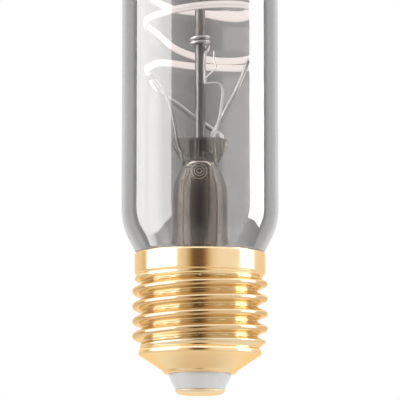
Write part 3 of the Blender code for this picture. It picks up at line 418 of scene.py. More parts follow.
def glass_materials(mats):
    mat, tree, shader = material("smoky_glass", SMOKE, 0.0, Transmission_Weight=1.0,
                                 IOR=GLASS_IOR, Specular_IOR_Level=1.0)
    patch = noise(tree, 60.0, 2.0)
    thin = tuple(c * (1 + SMOKE_SPREAD) for c in SMOKE)
    thick = tuple(c * (1 - SMOKE_SPREAD) for c in SMOKE)
    tree.links.new(ramp(tree, patch, [(0.3, thick), (0.7, thin)]), shader.inputs["Base Color"])
    mats["smoky_glass"] = mat
    for name, tint in (("stem_glass", STEM_TINT), ("exhaust_glass", EXHAUST_TINT)):
        mat, tree, shader = material(name, tint, 0.0, Transmission_Weight=1.0, IOR=GLASS_IOR)
        wave = noise(tree, 180.0, 2.0, (1, 1, 0.35))
        bump = node(tree, "Bump", in_Strength=0.06, in_Distance=0.0003, in_Height=wave)
        tree.links.new(bump.outputs[0], shader.inputs["Normal"])
        mats[name] = mat
        if name == "stem_glass":
            tree.links.new(press_streaks(tree, tint), shader.inputs["Base Color"])
    # The bead and the rings glow. Their emission is a painted highlight: glints that stand in for
    # light caught in the glass.
    for name, painted_glint in (("painted_glint_arc", 2.6), ("glass_ring", 0.48)):
        mat, tree, shader = material(name, (0.92, 0.88, 0.83), 0.1, Transmission_Weight=0.45,
                                     IOR=GLASS_IOR, Emission_Color=(1.0, 0.93, 0.84, 1.0))
        cloud = noise(tree, 900.0, 2.0)
        lit = math_node(tree, "MULTIPLY", cloud, painted_glint)
        tree.links.new(lit, shader.inputs["Emission Strength"])
        rough_and_bump(tree, shader, cloud, 0.05, 0.15, 0.1, 0.0001)
        mats[name] = mat


WIRES = (
    ("bright_wire", (0.97, 0.955, 0.94), 0.3),
    ("thin_wire", (0.6, 0.585, 0.57), 0.35),
    ("post_metal", (0.34, 0.325, 0.315), 0.3),
)
SEALED_WIRE = (0.36, 0.3, 0.26)
PLAIN_GOLD = [(0.3, (0.92, 0.67, 0.37)), (0.7, (0.94, 0.7, 0.4))]
# Gold of the thread by depth from root to crest, with painted light and shade: the flanks lightest,
# the crests darkest.
THREAD_GOLD_PAINTED_LIGHT = [
    (0.0, (0.72, 0.565, 0.37)), (0.12, (0.74, 0.6, 0.4)), (0.35, (0.86, 0.75, 0.54)),
    (0.7, (0.8, 0.62, 0.39)), (1.0, (0.74, 0.51, 0.28)),
]
CONTACT_GOLD = (1.0, 0.85, 0.6, 1.0)


def wire_materials(mats):
    """Drawn wire, dulled where it is sealed in the stem."""
    for name, colour, low in WIRES:
        mat, tree, shader = material(name, colour, low, 1.0)
        grain = noise(tree, 5000.0, 2.0, (1, 1, 0.15))
        _, level = radius_and_level(tree)
        free = edge_mask(tree, level, WAIST_Z - 1.0, WAIST_Z + 1.0)
        tree.links.new(ramp(tree, free, [(0.0, SEALED_WIRE), (1.0, colour)]),
                       shader.inputs["Base Color"])
        rough_and_bump(tree, shader, grain, low, low + 0.15, 0.15, 0.00003)
        mats[name] = mat
    mats["wire_metal"] = mats["bright_wire"]


def gold_material(mats):
    """Gold plating. In the rolled thread its tone follows the depth from root to crest as painted
    light and shade, and the centre contact has its own paler tone.
    """
    mat, tree, shader = material("gold_plating", (0.93, 0.68, 0.38), 0.17, 1.0,
                                 Specular_Tint=(0.97, 0.76, 0.5, 1.0))
    grain = noise(tree, 900.0, 4.0, (1, 1, 5))
    blotch = noise(tree, 140.0, 2.0)
    radius, level = radius_and_level(tree)
    depth = node(tree, "MapRange", in_0=radius, in_1=THREAD_ROOT, in_2=THREAD_CREST).outputs[0]
    above = edge_mask(tree, level, THREAD_FOOT_Z, THREAD_FOOT_Z + 1.2)
    below = edge_mask(tree, level, COLLAR_FOOT_Z, COLLAR_FOOT_Z - 0.6)
    thread = math_node(tree, "MULTIPLY", above, below)
    foot = edge_mask(tree, level, 1.3, 0.9)
    # In the thread the tone by depth is painted light and shade.
    tone = mixed(tree, thread, ramp(tree, blotch, PLAIN_GOLD), ramp(tree, depth, THREAD_GOLD_PAINTED_LIGHT))
    tone = mixed(tree, foot, tone, CONTACT_GOLD)
    tree.links.new(tone, shader.inputs["Base Color"])
    rough = math_node(tree, "MULTIPLY", grain, 0.1)
    rough = math_node(tree, "MULTIPLY_ADD", blotch, 0.1, rough)
    rough = math_node(tree, "MULTIPLY_ADD", thread, 0.03, rough)
    rough = math_node(tree, "MULTIPLY_ADD", foot, 0.25, rough)
    rough = math_node(tree, "ADD", rough, 0.05)
    tree.links.new(rough, shader.inputs["Roughness"])
    bump = node(tree, "Bump", in_Strength=0.12, in_Distance=0.00005, in_Height=grain)
    tree.links.new(bump.outputs[0], shader.inputs["Normal"])
    mats["gold_metal"] = mat


FILAMENT_GLOW = 1.48
FILAMENT_FACE = (1.0, 0.92, 0.905)
FILAMENT_TONES = [
    (0.0, FILAMENT_FACE), (0.55, FILAMENT_FACE), (0.85, (0.5, 0.42, 0.4)), (1.0, (0.3, 0.25, 0.23)),
]


def filament_material(mats):
    """The lit coating, brightest on the strip's two broad faces."""
    mat, tree, shader = material("lit_filament", (0.45, 0.4, 0.36), 0.5,
                                 Emission_Strength=FILAMENT_GLOW)
    turn = node(tree, "UVMap", uv_map="route")
    parts = node(tree, "SeparateXYZ", in_0=turn.outputs[0])
    around = math_node(tree, "PINGPONG", parts.outputs[1], 0.25)
    around = math_node(tree, "MULTIPLY", around, 4.0)
    tree.links.new(ramp(tree, around, FILAMENT_TONES), shader.inputs["Emission Color"])
    rough_and_bump(tree, shader, noise(tree, 2500.0, 2.0), 0.4, 0.6, 0.2, 0.00004)
    mats["filament"] = mat


def grained_materials(mats):
    """The insulator, the cement and what the driver is made of."""
    grained(mats, "insulator", "cap_insulator", (0.82, 0.82, 0.825), 0.22, (300.0, 4.0),
            [(0.35, (0.74, 0.745, 0.75)), (0.7, (0.79, 0.795, 0.8))], (0.16, 0.3, 0.08, 0.0001))
    grained(mats, "cement", "neck_cement", (0.72, 0.69, 0.62), 0.9, (1500.0, 6.0),
            [(0.3, (0.6, 0.57, 0.5)), (0.7, (0.78, 0.75, 0.68))], (0.8, 1.0, 0.6, 0.0002))
    grained(mats, "circuit_board", "green_board", (0.06, 0.26, 0.1), 0.4, (1800.0, 2.0),
            [(0.35, (0.045, 0.22, 0.08)), (0.65, (0.07, 0.3, 0.12))], (0.32, 0.5, 0.3, 0.00005))
    grained(mats, "black_plastic", "moulded_black", (0.03, 0.03, 0.032), 0.5, (6000.0, 3.0),
            [(0.3, (0.022, 0.022, 0.024)), (0.7, (0.042, 0.042, 0.044))],
            (0.4, 0.65, 0.3, 0.00004))
    grained(mats, "resistor_lacquer", "blue_lacquer", (0.2, 0.38, 0.58), 0.35, (1200.0, 3.0),
            [(0.3, (0.16, 0.32, 0.52)), (0.7, (0.24, 0.43, 0.63))], (0.25, 0.45, 0.3, 0.0001),
            Coat_Weight=0.4)
    grained(mats, "solder", "soft_solder", (0.68, 0.68, 0.7), 0.35, (2500.0, 4.0), None,
            (0.22, 0.5, 0.4, 0.0001), metallic=1.0)


def dress_cad(mats):
    """Give every CAD node the material of its slot."""
    slots = {entry["node"]: entry["material_slot"] for entry in frame["record"]["subparts"]}
    for name, obj in frame["nodes"].items():
        mat = mats[slots[name]]
        if obj.data.materials:
            for i in range(len(obj.data.materials)):
                obj.data.materials[i] = mat
        else:
            obj.data.materials.append(mat)


# Glass

def shell_profile(inset):
    """The tube's outline from the neck's end up to the top, moved in by inset."""
    tube = TUBE_RADIUS - inset
    foot = (SHOULDER_FOOT_RADIUS - 1.1 * inset, RIM_Z + SHOULDER_STEP + 0.25 * inset)
    corner_z = foot[1] + (tube - foot[0]) / SHOULDER_SLOPE
    dome_z = BULB_LENGTH - DOME_HEIGHT
    neck = NECK_RADIUS - inset
    flare = neck + 0.3
    points = [
        (neck, NECK_END_Z), (neck, RIM_Z - 1.4), (neck + 0.05, RIM_Z - 0.75), (flare, RIM_Z - 0.2),
        (flare + 0.55 * (foot[0] - flare), RIM_Z + 0.12 + 0.2 * inset), foot,
    ]
    arc = corner(foot, (tube, corner_z), (tube, dome_z), SHOULDER_ROUND - inset, 18)
    # Rings on the straight cone keep its shading straight next to the rounded shoulder
    for share in (0.03, 0.1, 0.3, 0.6, 0.9):
        points.append(tuple(Vector(foot).lerp(Vector(arc[0]), share)))
    points += arc
    points += [(tube, z) for z in np.linspace(points[-1][1] + 4.0, dome_z - 2.0, 12)]
    height = DOME_HEIGHT - inset
    for i in range(25):
        a = math.pi / 2 * i / 24
        points.append((tube * math.cos(a) if i < 24 else 0.0, dome_z + height * math.sin(a)))
    return points


def make_tube(mats):
    outer = shell_profile(0.0)
    inner = shell_profile(GLASS_WALL)
    verts, faces = lathe([*inner[::-1], *outer], TUBE_SIDES)
    build("tube_glass", verts, faces, mats["smoky_glass"], "smoky_glass", "glass_envelope",
          sharp=50)


def stem_sections():
    """(z, half width, half depth, squareness) of the stem's outside, from its foot to the press."""
    bell = NECK_RADIUS - FLARE_WALL - GAP
    bell_top = NECK_END_Z + FLARE_BELL_HEIGHT
    rows = []
    for t in np.linspace(0.0, 1.0, 14):
        radius = FLARE_RADIUS + (bell - FLARE_RADIUS) * (1 - t) ** 2.2
        rows.append((NECK_END_Z + FLARE_BELL_HEIGHT * t, radius, radius, 2.0))
    rows.append(((bell_top + FLARE_TOP_Z) / 2, FLARE_RADIUS, FLARE_RADIUS, 2.0))
    rows.append((FLARE_TOP_Z, FLARE_RADIUS, FLARE_RADIUS, 2.0))
    for t in np.linspace(0.08, 1.0, 12):
        radius = FLARE_RADIUS + (WAIST_RADIUS - FLARE_RADIUS) * (1 - math.cos(math.pi / 2 * t))
        rows.append((FLARE_TOP_Z + (WAIST_Z - FLARE_TOP_Z) * t, radius, radius, 2.0))
    press = PRESS_TOP_Z - WAIST_Z
    for t in np.linspace(0.06, 0.8, 12):
        share = min(1.0, t / 0.78)
        widen = share * (1.08 - 0.08 * share)
        thin = min(1.0, 1.6 * widen)
        width = WAIST_RADIUS + (PRESS_HALF_WIDTH - WAIST_RADIUS) * widen
        depth = WAIST_RADIUS + (PRESS_HALF_DEPTH - WAIST_RADIUS) * thin
        rows.append((WAIST_Z + press * t, width, depth, 2.0 + thin))
    start = rows[-1][0]
    for a in (20, 45, 70, 90):
        s = 1 - math.cos(math.radians(a))
        z = start + (PRESS_TOP_Z - start) * math.sin(math.radians(a))
        rows.append((z, PRESS_HALF_WIDTH - PRESS_SHOULDER * s, PRESS_HALF_DEPTH - 0.4 * s, 3.0))
    return rows


def section(z, half_width, half_depth, power):
    """One ring of the stem, round at power 2 and squarer above it."""
    points = []
    for i in range(STEM_SIDES):
        a = 2 * math.pi * i / STEM_SIDES
        c = math.cos(a)
        s = math.sin(a)
        x = half_width * math.copysign(abs(c) ** (2 / power), c)
        y = half_depth * math.copysign(abs(s) ** (2 / power), s)
        points.append((x, y, z))
    return points


# The rims round the exhaust hole take a glowing material: a painted highlight of bright rings round
# the hole.
HOLE_CENTRE = (-0.15, -EXHAUST_RADIUS - 0.15, 43.0)
HOLE_RIMS = (("hole_rim_inner", 0.45), ("hole_rim_middle", 0.9), ("hole_rim_outer", 1.4))
HOLE_RIM_THICKNESS = 0.07


def hole_rim(radius, around=32, sides=10):
    """A ring of glass round the exhaust hole, on the stem's front."""
    x, y, z = HOLE_CENTRE
    verts = []
    for i in range(around):
        a = 2 * math.pi * i / around
        for k in range(sides):
            b = 2 * math.pi * k / sides
            r = radius + HOLE_RIM_THICKNESS * math.cos(b)
            depth = y + HOLE_RIM_THICKNESS * math.sin(b)
            verts.append((x + r * math.cos(a), depth, z + r * math.sin(a)))
    faces = []
    for i in range(around):
        for k in range(sides):
            m = (i + 1) % around * sides
            n = (k + 1) % sides
            faces.append((i * sides + k, i * sides + n, m + n, m + k))
    return verts, faces


# (height above HOLLOW_TOP_Z, radius) of the hollow's rounded roof
HOLLOW_ROOF = [
    (0.0, 3.25), (1.2, 2.75), (1.9, 2.45), (2.25, 2.3), (2.4, 2.1), (2.48, 1.7), (2.5, 0.9),
]
# (x, z) of a thin glowing bead along that roof, a painted highlight: the bright arc that light
# makes at the stem's waist
ROOF_GLINT = [
    (-2.3, 44.0), (-2.0, 44.35), (-1.5, 44.72), (-0.6, 44.85), (0.8, 44.85), (1.3, 44.7),
    (1.6, 44.4), (1.85, 44.05),
]
ROOF_GLINT_Y = -1.9
ROOF_GLINT_RADIUS = 0.11
# (radius, height above NECK_END_Z) of the exhaust tube, up its bore and down its outside
EXHAUST_BORE = EXHAUST_RADIUS - EXHAUST_WALL
TAIL_BORE = EXHAUST_TAIL_RADIUS - EXHAUST_WALL
EXHAUST_TOP = HOLLOW_TOP_Z + EXHAUST_RISE - NECK_END_Z
EXHAUST_PROFILE = [
    (0.0, 1.7), (TAIL_BORE, 2.3), (TAIL_BORE, TAIL_TOP), (EXHAUST_BORE, TAPER_TOP),
    (EXHAUST_BORE, EXHAUST_TOP), (EXHAUST_RADIUS, EXHAUST_TOP), (EXHAUST_RADIUS, TAPER_TOP),
    (EXHAUST_TAIL_RADIUS, TAIL_TOP), (EXHAUST_TAIL_RADIUS, 0.3),
    (0.7 * EXHAUST_TAIL_RADIUS, -0.55), (0.0, -0.9),
]


def make_stem(mats):
    """The flare and the press, hollow below."""
    outer = stem_sections()
    inner = []
    for z, width, _, _ in outer:
        if z < HOLLOW_TOP_Z - HOLLOW_FOOT:
            inner.append((z, width - FLARE_WALL, width - FLARE_WALL, 2.0))
    inner += [(HOLLOW_TOP_Z + up, radius, radius, 2.0) for up, radius in HOLLOW_ROOF]
    rows = [*inner[::-1], *outer]
    verts = []
    for row in rows:
        verts += section(*row)
    faces = grid_faces(len(rows), STEM_SIDES)
    last = (len(rows) - 1) * STEM_SIDES
    for centre, first in ((inner[-1][0] + 0.01, 0), (PRESS_TOP_Z, last)):
        pole = len(verts)
        verts.append((0.0, 0.0, centre))
        for i in range(STEM_SIDES):
            a = first + i
            b = first + (i + 1) % STEM_SIDES
            faces.append((pole, b, a) if first == 0 else (pole, a, b))
    build("stem_glass", verts, faces, mats["stem_glass"], "stem_glass", "stem_flare", sharp=50)


def make_stem_details(mats):
    """The rims of the exhaust hole and the bead along the hollow's roof, both glowing as painted
    highlights, and the exhaust tube.
    """
    for name, radius in HOLE_RIMS:
        verts, faces = hole_rim(radius)
        build(name, verts, faces, mats["glass_ring"], "stem_glass", "stem_flare")
    route = smooth([(x, ROOF_GLINT_Y, z) for x, z in ROOF_GLINT], 0.2)
    verts, faces, coords = sweep(route, [circle(ROOF_GLINT_RADIUS, 10)] * len(route))
    build("hollow_roof_painted_glint", verts, faces, mats["painted_glint_arc"], "stem_glass", "stem_flare",
          uvs=coords)

    verts, faces = lathe([(r, NECK_END_Z + up) for r, up in EXHAUST_PROFILE], ROUND_SIDES)
    leaning = []
    for x, y, z in verts:
        lean = min(1.0, max(0.0, (z - NECK_END_Z - 5.0) / 8.0))
        leaning.append((x - EXHAUST_LEAN * lean, y, z))
    faces = [f[::-1] for f in faces]
    build("exhaust_glass", leaning, faces, mats["exhaust_glass"], "stem_glass", "exhaust_tube")


# Filament and wires

# (angle, share of the pitch) of the strands' uneven first turns
SPIRAL_START = [
    (4, 0.0), (30, 0.027), (90, 0.176), (121, 0.363), (148, 0.615), (180, 0.692), (222, 0.769),
    (270, 0.89), (325, 0.978), (352, 0.975), (372, 0.945), (394, 0.95), (425, 1.05), (450, 1.17),
    (475, 1.21),
]
LOWER_TURN = [(4, 0.0), (30, 0.044), (90, 0.17), (148, 0.155), (174, -0.04)]
# (angle, extra half height) where the strip looks wider
WIDE_STRIP = ((352, 0.0), (378, 0.45), (420, 0.45), (446, 0.0))
STEPS_A_TURN = 72


def level_at(degrees, levels):
    """Height on a smooth curve through (angle, share of the pitch) pairs."""
    angles = np.array([a for a, _ in levels], float)
    heights = np.array([z for _, z in levels], float) * SPIRAL_PITCH
    slopes = np.gradient(heights, angles)
    i = int(np.clip(np.searchsorted(angles, degrees) - 1, 0, len(angles) - 2))
    span = angles[i + 1] - angles[i]
    t = (degrees - angles[i]) / span
    ease = 3 * t**2 - 2 * t**3
    first = (t**3 - 2 * t**2 + t) * span * slopes[i]
    last = (t**3 - t**2) * span * slopes[i + 1]
    return float(heights[i] + ease * (heights[i + 1] - heights[i]) + first + last)


def upper_level(degrees):
    angle, share = SPIRAL_START[-1]
    if degrees <= angle:
        return SPIRAL_FOOT_Z + level_at(degrees, SPIRAL_START)
    return SPIRAL_FOOT_Z + SPIRAL_PITCH * (share + (degrees - angle) / 360.0)


def lower_level(degrees):
    return SPIRAL_FOOT_Z - LOWER_STRAND_DROP + level_at(degrees, LOWER_TURN)


def strand(name, level, end, mat, replaced):
    """A coated strip, a little taller than thick, that follows the spiral."""
    count = round((end - STRAND_START) / 360.0 * STEPS_A_TURN)
    angles = np.linspace(STRAND_START, end, count + 1)
    route = [ring(SPIRAL_RADIUS, a, level(a)) for a in angles]
    sections = []
    for place, degrees in zip(route, angles):
        wide = float(np.interp(degrees, *zip(*WIDE_STRIP)))
        place.z += wide
        outline = []
        for i in range(20):
            a = 2 * math.pi * i / 20
            c = math.cos(a)
            s = math.sin(a)
            across = FILAMENT_HALF_DEPTH * math.copysign(abs(c) ** 0.7, c)
            upward = (FILAMENT_RADIUS + wide) * math.copysign(abs(s) ** 0.8, s)
            outline.append((across, upward))
        sections.append(outline)
    verts, faces, coords = sweep(route, sections, Vector((0, 0, 1)))
    return build(name, verts, faces, mat, "filament", replaced, uvs=coords)


def way(foot, head, across, y, up):
    """A point of a wire between its two ends, by shares of their distance across and up."""
    return Vector((foot.x + across * (head.x - foot.x), y, foot.z + up * (head.z - foot.z)))


def press(x, y, depth=0.0):
    """A point at a depth in the press."""
    return Vector((x, y, PRESS_TOP_Z - depth))


def tail(side):
    """A lead's way from the waist of the stem down to its hole in the board."""
    drop = HOLLOW_TOP_Z - NECK_END_Z
    middle = (LEAD_DROP_X + BOARD_PAD_X) / 2
    points = [
        (SEAL_X, 0, WAIST_Z), (SEAL_X, 0, HOLLOW_TOP_Z),
        (LEAD_DROP_X, 0, HOLLOW_TOP_Z - 0.13 * drop), (LEAD_DROP_X, 0, HOLLOW_TOP_Z - 0.62 * drop),
        (LEAD_DROP_X, 0, NECK_END_Z), (middle, 0.1, 21.4), (BOARD_PAD_X, 0.8, 19.4),
        (BOARD_PAD_X, 1.8, 19.3),
    ]
    return [Vector((side * x, y, z)) for x, y, z in points]


def make_post(mats):
    foot = PRESS_TOP_Z - POST_DEPTH
    top = upper_level(SPIRAL_END) + POST_RISE
    edge = 0.2
    profile = [
        (0, foot), (POST_RADIUS, foot), (POST_RADIUS, top - edge), (POST_RADIUS - edge, top),
        (0, top),
    ]
    verts, faces = lathe(profile, ROUND_SIDES)
    build("mount_post", verts, faces, mats["post_metal"], "wire_metal", "centre_post")


def make_left_wires(mats):
    """The left pin, the lead and the support that hold the lower strand's end."""
    metal = mats["wire_metal"]
    low = lower_level(LOWER_STRAND_END)
    pin_end = Vector((0.9 - SPIRAL_RADIUS, -0.63, low - 1.6))
    pin = [
        ring(SPIRAL_RADIUS, LOWER_STRAND_END + 2.0, low), ring(SPIRAL_RADIUS, 180.0, low - 1.12),
        pin_end,
    ]
    wire("left_pin", smooth(pin, 0.15), PIN_RADIUS, metal, "left_filament_pin")

    head = pin_end + Vector((0, -LEAD_RADIUS - PIN_RADIUS - GAP, 0))
    foot = press(-4.45, 0)
    lead = [
        head + Vector((0, 0, LEAD_RADIUS)), way(foot, head, 0.76, -1.26, 0.93),
        way(foot, head, 0.46, -1.365, 0.72), way(foot, head, 0.17, -0.84, 0.38), foot,
        press(-3.45, 0, LEAD_BEND_DEPTH), press(-SEAL_X - 0.2, 0, SEAL_DEPTH), *tail(-1),
    ]
    wire("left_lead", smooth(lead), LEAD_RADIUS, mats["thin_wire"], "left_lead_wire")

    head = pin_end + Vector((0, 0, -STRUT_RADIUS - PIN_RADIUS - GAP))
    foot = press(STRUT_FOOT_X, STRUT_FOOT_Y)
    behind = POST_SIDE + STRUT_RADIUS + 0.05
    strut = [
        head, way(head, foot, 0.105, head.y, 0.18), way(head, foot, 0.17, -0.315, 0.25),
        way(head, foot, 0.27, 0, 0.33), way(head, foot, 0.41, 0.735, 0.44),
        way(head, foot, 0.6, behind, 0.61), way(head, foot, 0.78, behind, 0.75),
        way(head, foot, 0.9, 0.95 * behind, 0.86), way(head, foot, 0.98, 0.62 * behind, 0.93),
        foot, press(foot.x, foot.y, STRUT_DEPTH),
    ]
    wire("left_strut", smooth(strut), STRUT_RADIUS + STRUT_GROWTH, metal, "left_support_wire")


def make_right_wires(mats):
    """The link between the two strands and its support."""
    metal = mats["wire_metal"]
    low = lower_level(STRAND_START)
    high = upper_level(STRAND_START)
    near = STRAND_START - PIN_TURN
    bend = [
        ring(SPIRAL_RADIUS, near, low), ring(SPIRAL_RADIUS, near - 6, low + 0.15),
        ring(SPIRAL_RADIUS, near - 9, (low + high) / 2), ring(SPIRAL_RADIUS, near - 6, high - 0.15),
        ring(SPIRAL_RADIUS, near, high),
    ]
    wire("right_link", smooth(bend, 0.15), PIN_RADIUS, metal, "right_filament_link")

    head = bend[2] + Vector((-PIN_RADIUS - STRUT_RADIUS - GAP, 0, 0.2))
    foot = press(POST_RADIUS + STRUT_RADIUS + 0.75, STRUT_FOOT_Y)
    strut = [
        head, way(foot, head, 0.93, 0, 0.9), way(foot, head, 0.72, -0.378, 0.65),
        way(foot, head, 0.51, 0, 0.46), way(foot, head, 0.3, 0.285, 0.28),
        way(foot, head, 0.035, STRUT_FOOT_Y, 0.055), foot, press(foot.x, foot.y, STRUT_DEPTH),
    ]
    wire("right_strut", smooth(strut), STRUT_RADIUS, metal, "right_support_wire")


def make_post_wires(mats):
    """The right lead, coiled round the post and led down its front, and the hook behind."""
    metal = mats["wire_metal"]
    wrap = POST_SIDE + GAP + LEAD_RADIUS
    turns = (COIL_START - COIL_END) / 360.0
    coil = []
    for i in range(121):
        t = i / 120
        angle = COIL_START + (COIL_END - COIL_START) * t
        coil.append(ring(wrap, angle, COIL_Z + COIL_PITCH * turns * (1 - t)))
    side = ring(POST_SIDE + LEAD_RADIUS, -50.0, COIL_Z - 2.1)
    foot = press(2.75, -0.95)
    jog = Vector((POST_RADIUS + 3.36, side.y, PRESS_TOP_Z + 10.65))
    lead = [
        coil[-1], (coil[-1] + side) / 2 + Vector((0.075, -0.25, 0)), side,
        Vector((side.x, side.y, jog.z + 0.7)), Vector((side.x + 0.28, side.y, jog.z)),
        way(side, jog, 0.7, side.y, 1.0), way(foot, jog, 1.0, side.y, 0.9),
        way(foot, jog, 0.96, side.y, 0.72), way(foot, jog, 0.66, side.y, 0.4), foot,
        press(foot.x, foot.y / 2, LEAD_BEND_DEPTH), press(SEAL_X, -0.16, SEAL_DEPTH), *tail(1),
    ]
    wire("right_lead", coil[:-1] + smooth(lead, 0.3), LEAD_RADIUS, metal, "right_lead_wire")

    inner = SPIRAL_RADIUS - FILAMENT_RADIUS - HOOK_RADIUS - GAP
    low = lower_level(HOOK_TURN)
    high = upper_level(HOOK_TURN)
    hook = [
        ring(POST_SIDE + HOOK_RADIUS, HOOK_TURN - 10, low - 3.925),
        ring(inner * 0.55, HOOK_TURN - 7, low - 1.96),
        ring(inner * 0.96, HOOK_TURN - 4.5, low - 0.39), ring(inner, HOOK_TURN - 3, low + 0.39),
        ring(inner, HOOK_TURN - 0.5, high + 0.39), ring(inner * 0.99, HOOK_TURN - 0.5, high + 1.69),
    ]
    wire("rear_hook", smooth(hook, 0.3), HOOK_RADIUS, metal, "rear_hook_wire")


def make_top_wires(mats):
    """The arm from the post's top to the spiral's upper end, and the pin there."""
    metal = mats["wire_metal"]
    top = upper_level(SPIRAL_END)
    grip = POST_SIDE + LEAD_RADIUS
    reach = SPIRAL_RADIUS - PIN_RADIUS - LEAD_RADIUS - GAP
    hold = SPIRAL_END - 75
    arm = [
        ring(reach, SPIRAL_END + 8, top), ring(0.75 * SPIRAL_RADIUS, SPIRAL_END + 5, top + 0.5),
        ring(0.4 * SPIRAL_RADIUS, SPIRAL_END - 5, top + 1.2), ring(grip, hold, top + 1.5),
    ]
    turn = [ring(grip, hold - a, top + 1.5) for a in range(12, 241, 12)]
    wire("top_arm", smooth(arm) + turn, LEAD_RADIUS, metal, "top_arm_wire")
    pin = [ring(SPIRAL_RADIUS, SPIRAL_END + a, top) for a in (PIN_TURN, 4, 7, 9.5, 12)]
    wire("top_pin", pin, PIN_RADIUS, metal, "top_filament_pin")


def make_filament(mats):
    strand("lower_strand", lower_level, LOWER_STRAND_END, mats["filament"], "lower_filament_strand")
    strand("spiral_strand", upper_level, SPIRAL_END, mats["filament"], "spiral_filament_strand")


# Cap

def thread_radius(angle, z):
    """Radius of the endless thread at an azimuth in radians."""
    crest_z = THREAD_FOOT_Z + THREAD_OFFSET * THREAD_PITCH
    phase = (z - crest_z) / THREAD_PITCH - angle / (2 * math.pi)
    fall = (1 - math.cos(2 * math.pi * phase)) / 2
    return THREAD_CREST - (THREAD_CREST - THREAD_ROOT) * fall**CREST_ROUNDING


def thread_share(z):
    """How much of the thread there is at a height: it runs out at both ends."""
    room = min((z - THREAD_FOOT_Z) / FOOT_RUN_OUT, (COLLAR_FOOT_Z - z) / THREAD_RUN_OUT)
    t = min(1.0, max(0.0, room))
    return 3 * t**2 - 2 * t**3


# (radius, z) of the rolled lip below the cone, of the bead above it and of the collar
LIP_ROWS = [
    (6.25, 4.1), (6.38, 4.03), (6.55, 4.01), (6.72, 4.06), (6.88, 4.16), (7.02, 4.29), (7.12, 4.42),
    (7.19, 4.54), (7.25, 4.65), (7.32, 4.73),
]
LIP_ROLL_TOP_Z = 5.0
BAND_ROWS = [
    (11.2, 7.3), (11.45, 7.43), (11.67, 7.55), (11.8, 7.66), (11.87, 7.8), (11.89, 7.96),
    (11.88, 8.14), (11.85, 8.32), (11.78, 8.48), (11.69, 8.61), (11.6, 8.71), (11.53, 8.8),
]
COLLAR_ROWS = [
    (12.3, 23.1), (12.36, 23.25), (12.5, 23.36), (12.6, 23.45), (12.65, 23.6), (12.66, 23.9),
    (12.66, 25.0), (12.66, 26.4), (12.66, 27.0), (12.64, 27.22), (12.57, 27.36), (12.5, 27.4),
]


def make_shell(mats):
    """The screw shell, from its lip up to its rim, as a sheet with an inside."""
    rows = LIP_ROWS + BAND_ROWS
    middle = (THREAD_FOOT_Z + COLLAR_FOOT_Z) / 2
    for z in np.linspace(THREAD_FOOT_Z + 0.12, COLLAR_FOOT_Z - 0.15, THREAD_ROWS):
        rows.append((BAND_ROWS[-1][0] if z < middle else COLLAR_ROWS[0][0], z))
    rows += COLLAR_ROWS
    outer = []
    inner = []
    for base, z in rows:
        share = thread_share(z)
        lift = SHELL_WALL if z < LIP_ROLL_TOP_Z else 0.0
        for j in range(SHELL_SIDES):
            a = 2 * math.pi * j / SHELL_SIDES
            r = base + (thread_radius(a, z) - base) * share
            outer.append((r * math.cos(a), r * math.sin(a), z))
            r -= SHELL_WALL
            inner.append((r * math.cos(a), r * math.sin(a), z + lift))
    count = len(rows)
    faces = grid_faces(count, SHELL_SIDES)
    faces += [f[::-1] for f in grid_faces(count, SHELL_SIDES, len(outer))]
    last = (count - 1) * SHELL_SIDES
    for i in range(SHELL_SIDES):
        j = (i + 1) % SHELL_SIDES
        a = len(outer)
        faces.append((i, a + i, a + j, j))
        faces.append((last + i, last + j, a + last + j, a + last + i))
    build("gold_shell", outer + inner, faces, mats["gold_metal"], "gold_metal", "cap_shell")


def make_cap_foot(mats):
    """The insulator and the centre contact."""
    lip = (INSULATOR_LIP_RADIUS, LIP_Z)
    edge = (INSULATOR_LIP_RADIUS - 0.03, 3.55)
    bore_foot = (INSULATOR_BORE, INSULATOR_FOOT[1])
    profile = [
        (INSULATOR_BORE, INSULATOR_TOP_Z), (INSULATOR_TOP_RADIUS, INSULATOR_TOP_Z), (6.5, 4.55),
        (INSULATOR_LIP_RADIUS, 4.5), lip,
    ]
    profile += corner(lip, edge, INSULATOR_FOOT, 0.5, 4)
    profile += corner(edge, INSULATOR_FOOT, bore_foot, 0.15, 4)
    profile.append(bore_foot)
    verts, faces = lathe(profile, FOOT_SIDES)
    first = len(verts) - FOOT_SIDES
    for i in range(FOOT_SIDES):
        j = (i + 1) % FOOT_SIDES
        faces.append((first + i, first + j, j, i))
    faces = [f[::-1] for f in faces]
    build("white_insulator", verts, faces, mats["insulator"], "insulator", "cap_insulator")

    profile = [
        (0, 0.0), (2.0, 0.0), (3.2, 0.03), (CONTACT_FLAT_RADIUS, 0.12), (4.25, 0.26), (4.55, 0.46),
        (4.74, 0.66), (4.83, 0.8), (CONTACT_RADIUS, 0.88), (4.8, CONTACT_HEIGHT),
        (RIVET_RADIUS, CONTACT_HEIGHT), (RIVET_RADIUS, RIVET_TOP_Z), (0, RIVET_TOP_Z),
    ]
    verts, faces = lathe(profile, FOOT_SIDES)
    build("gold_contact", verts, faces, mats["gold_metal"], "gold_metal", "centre_contact")


# Light, floor and camera

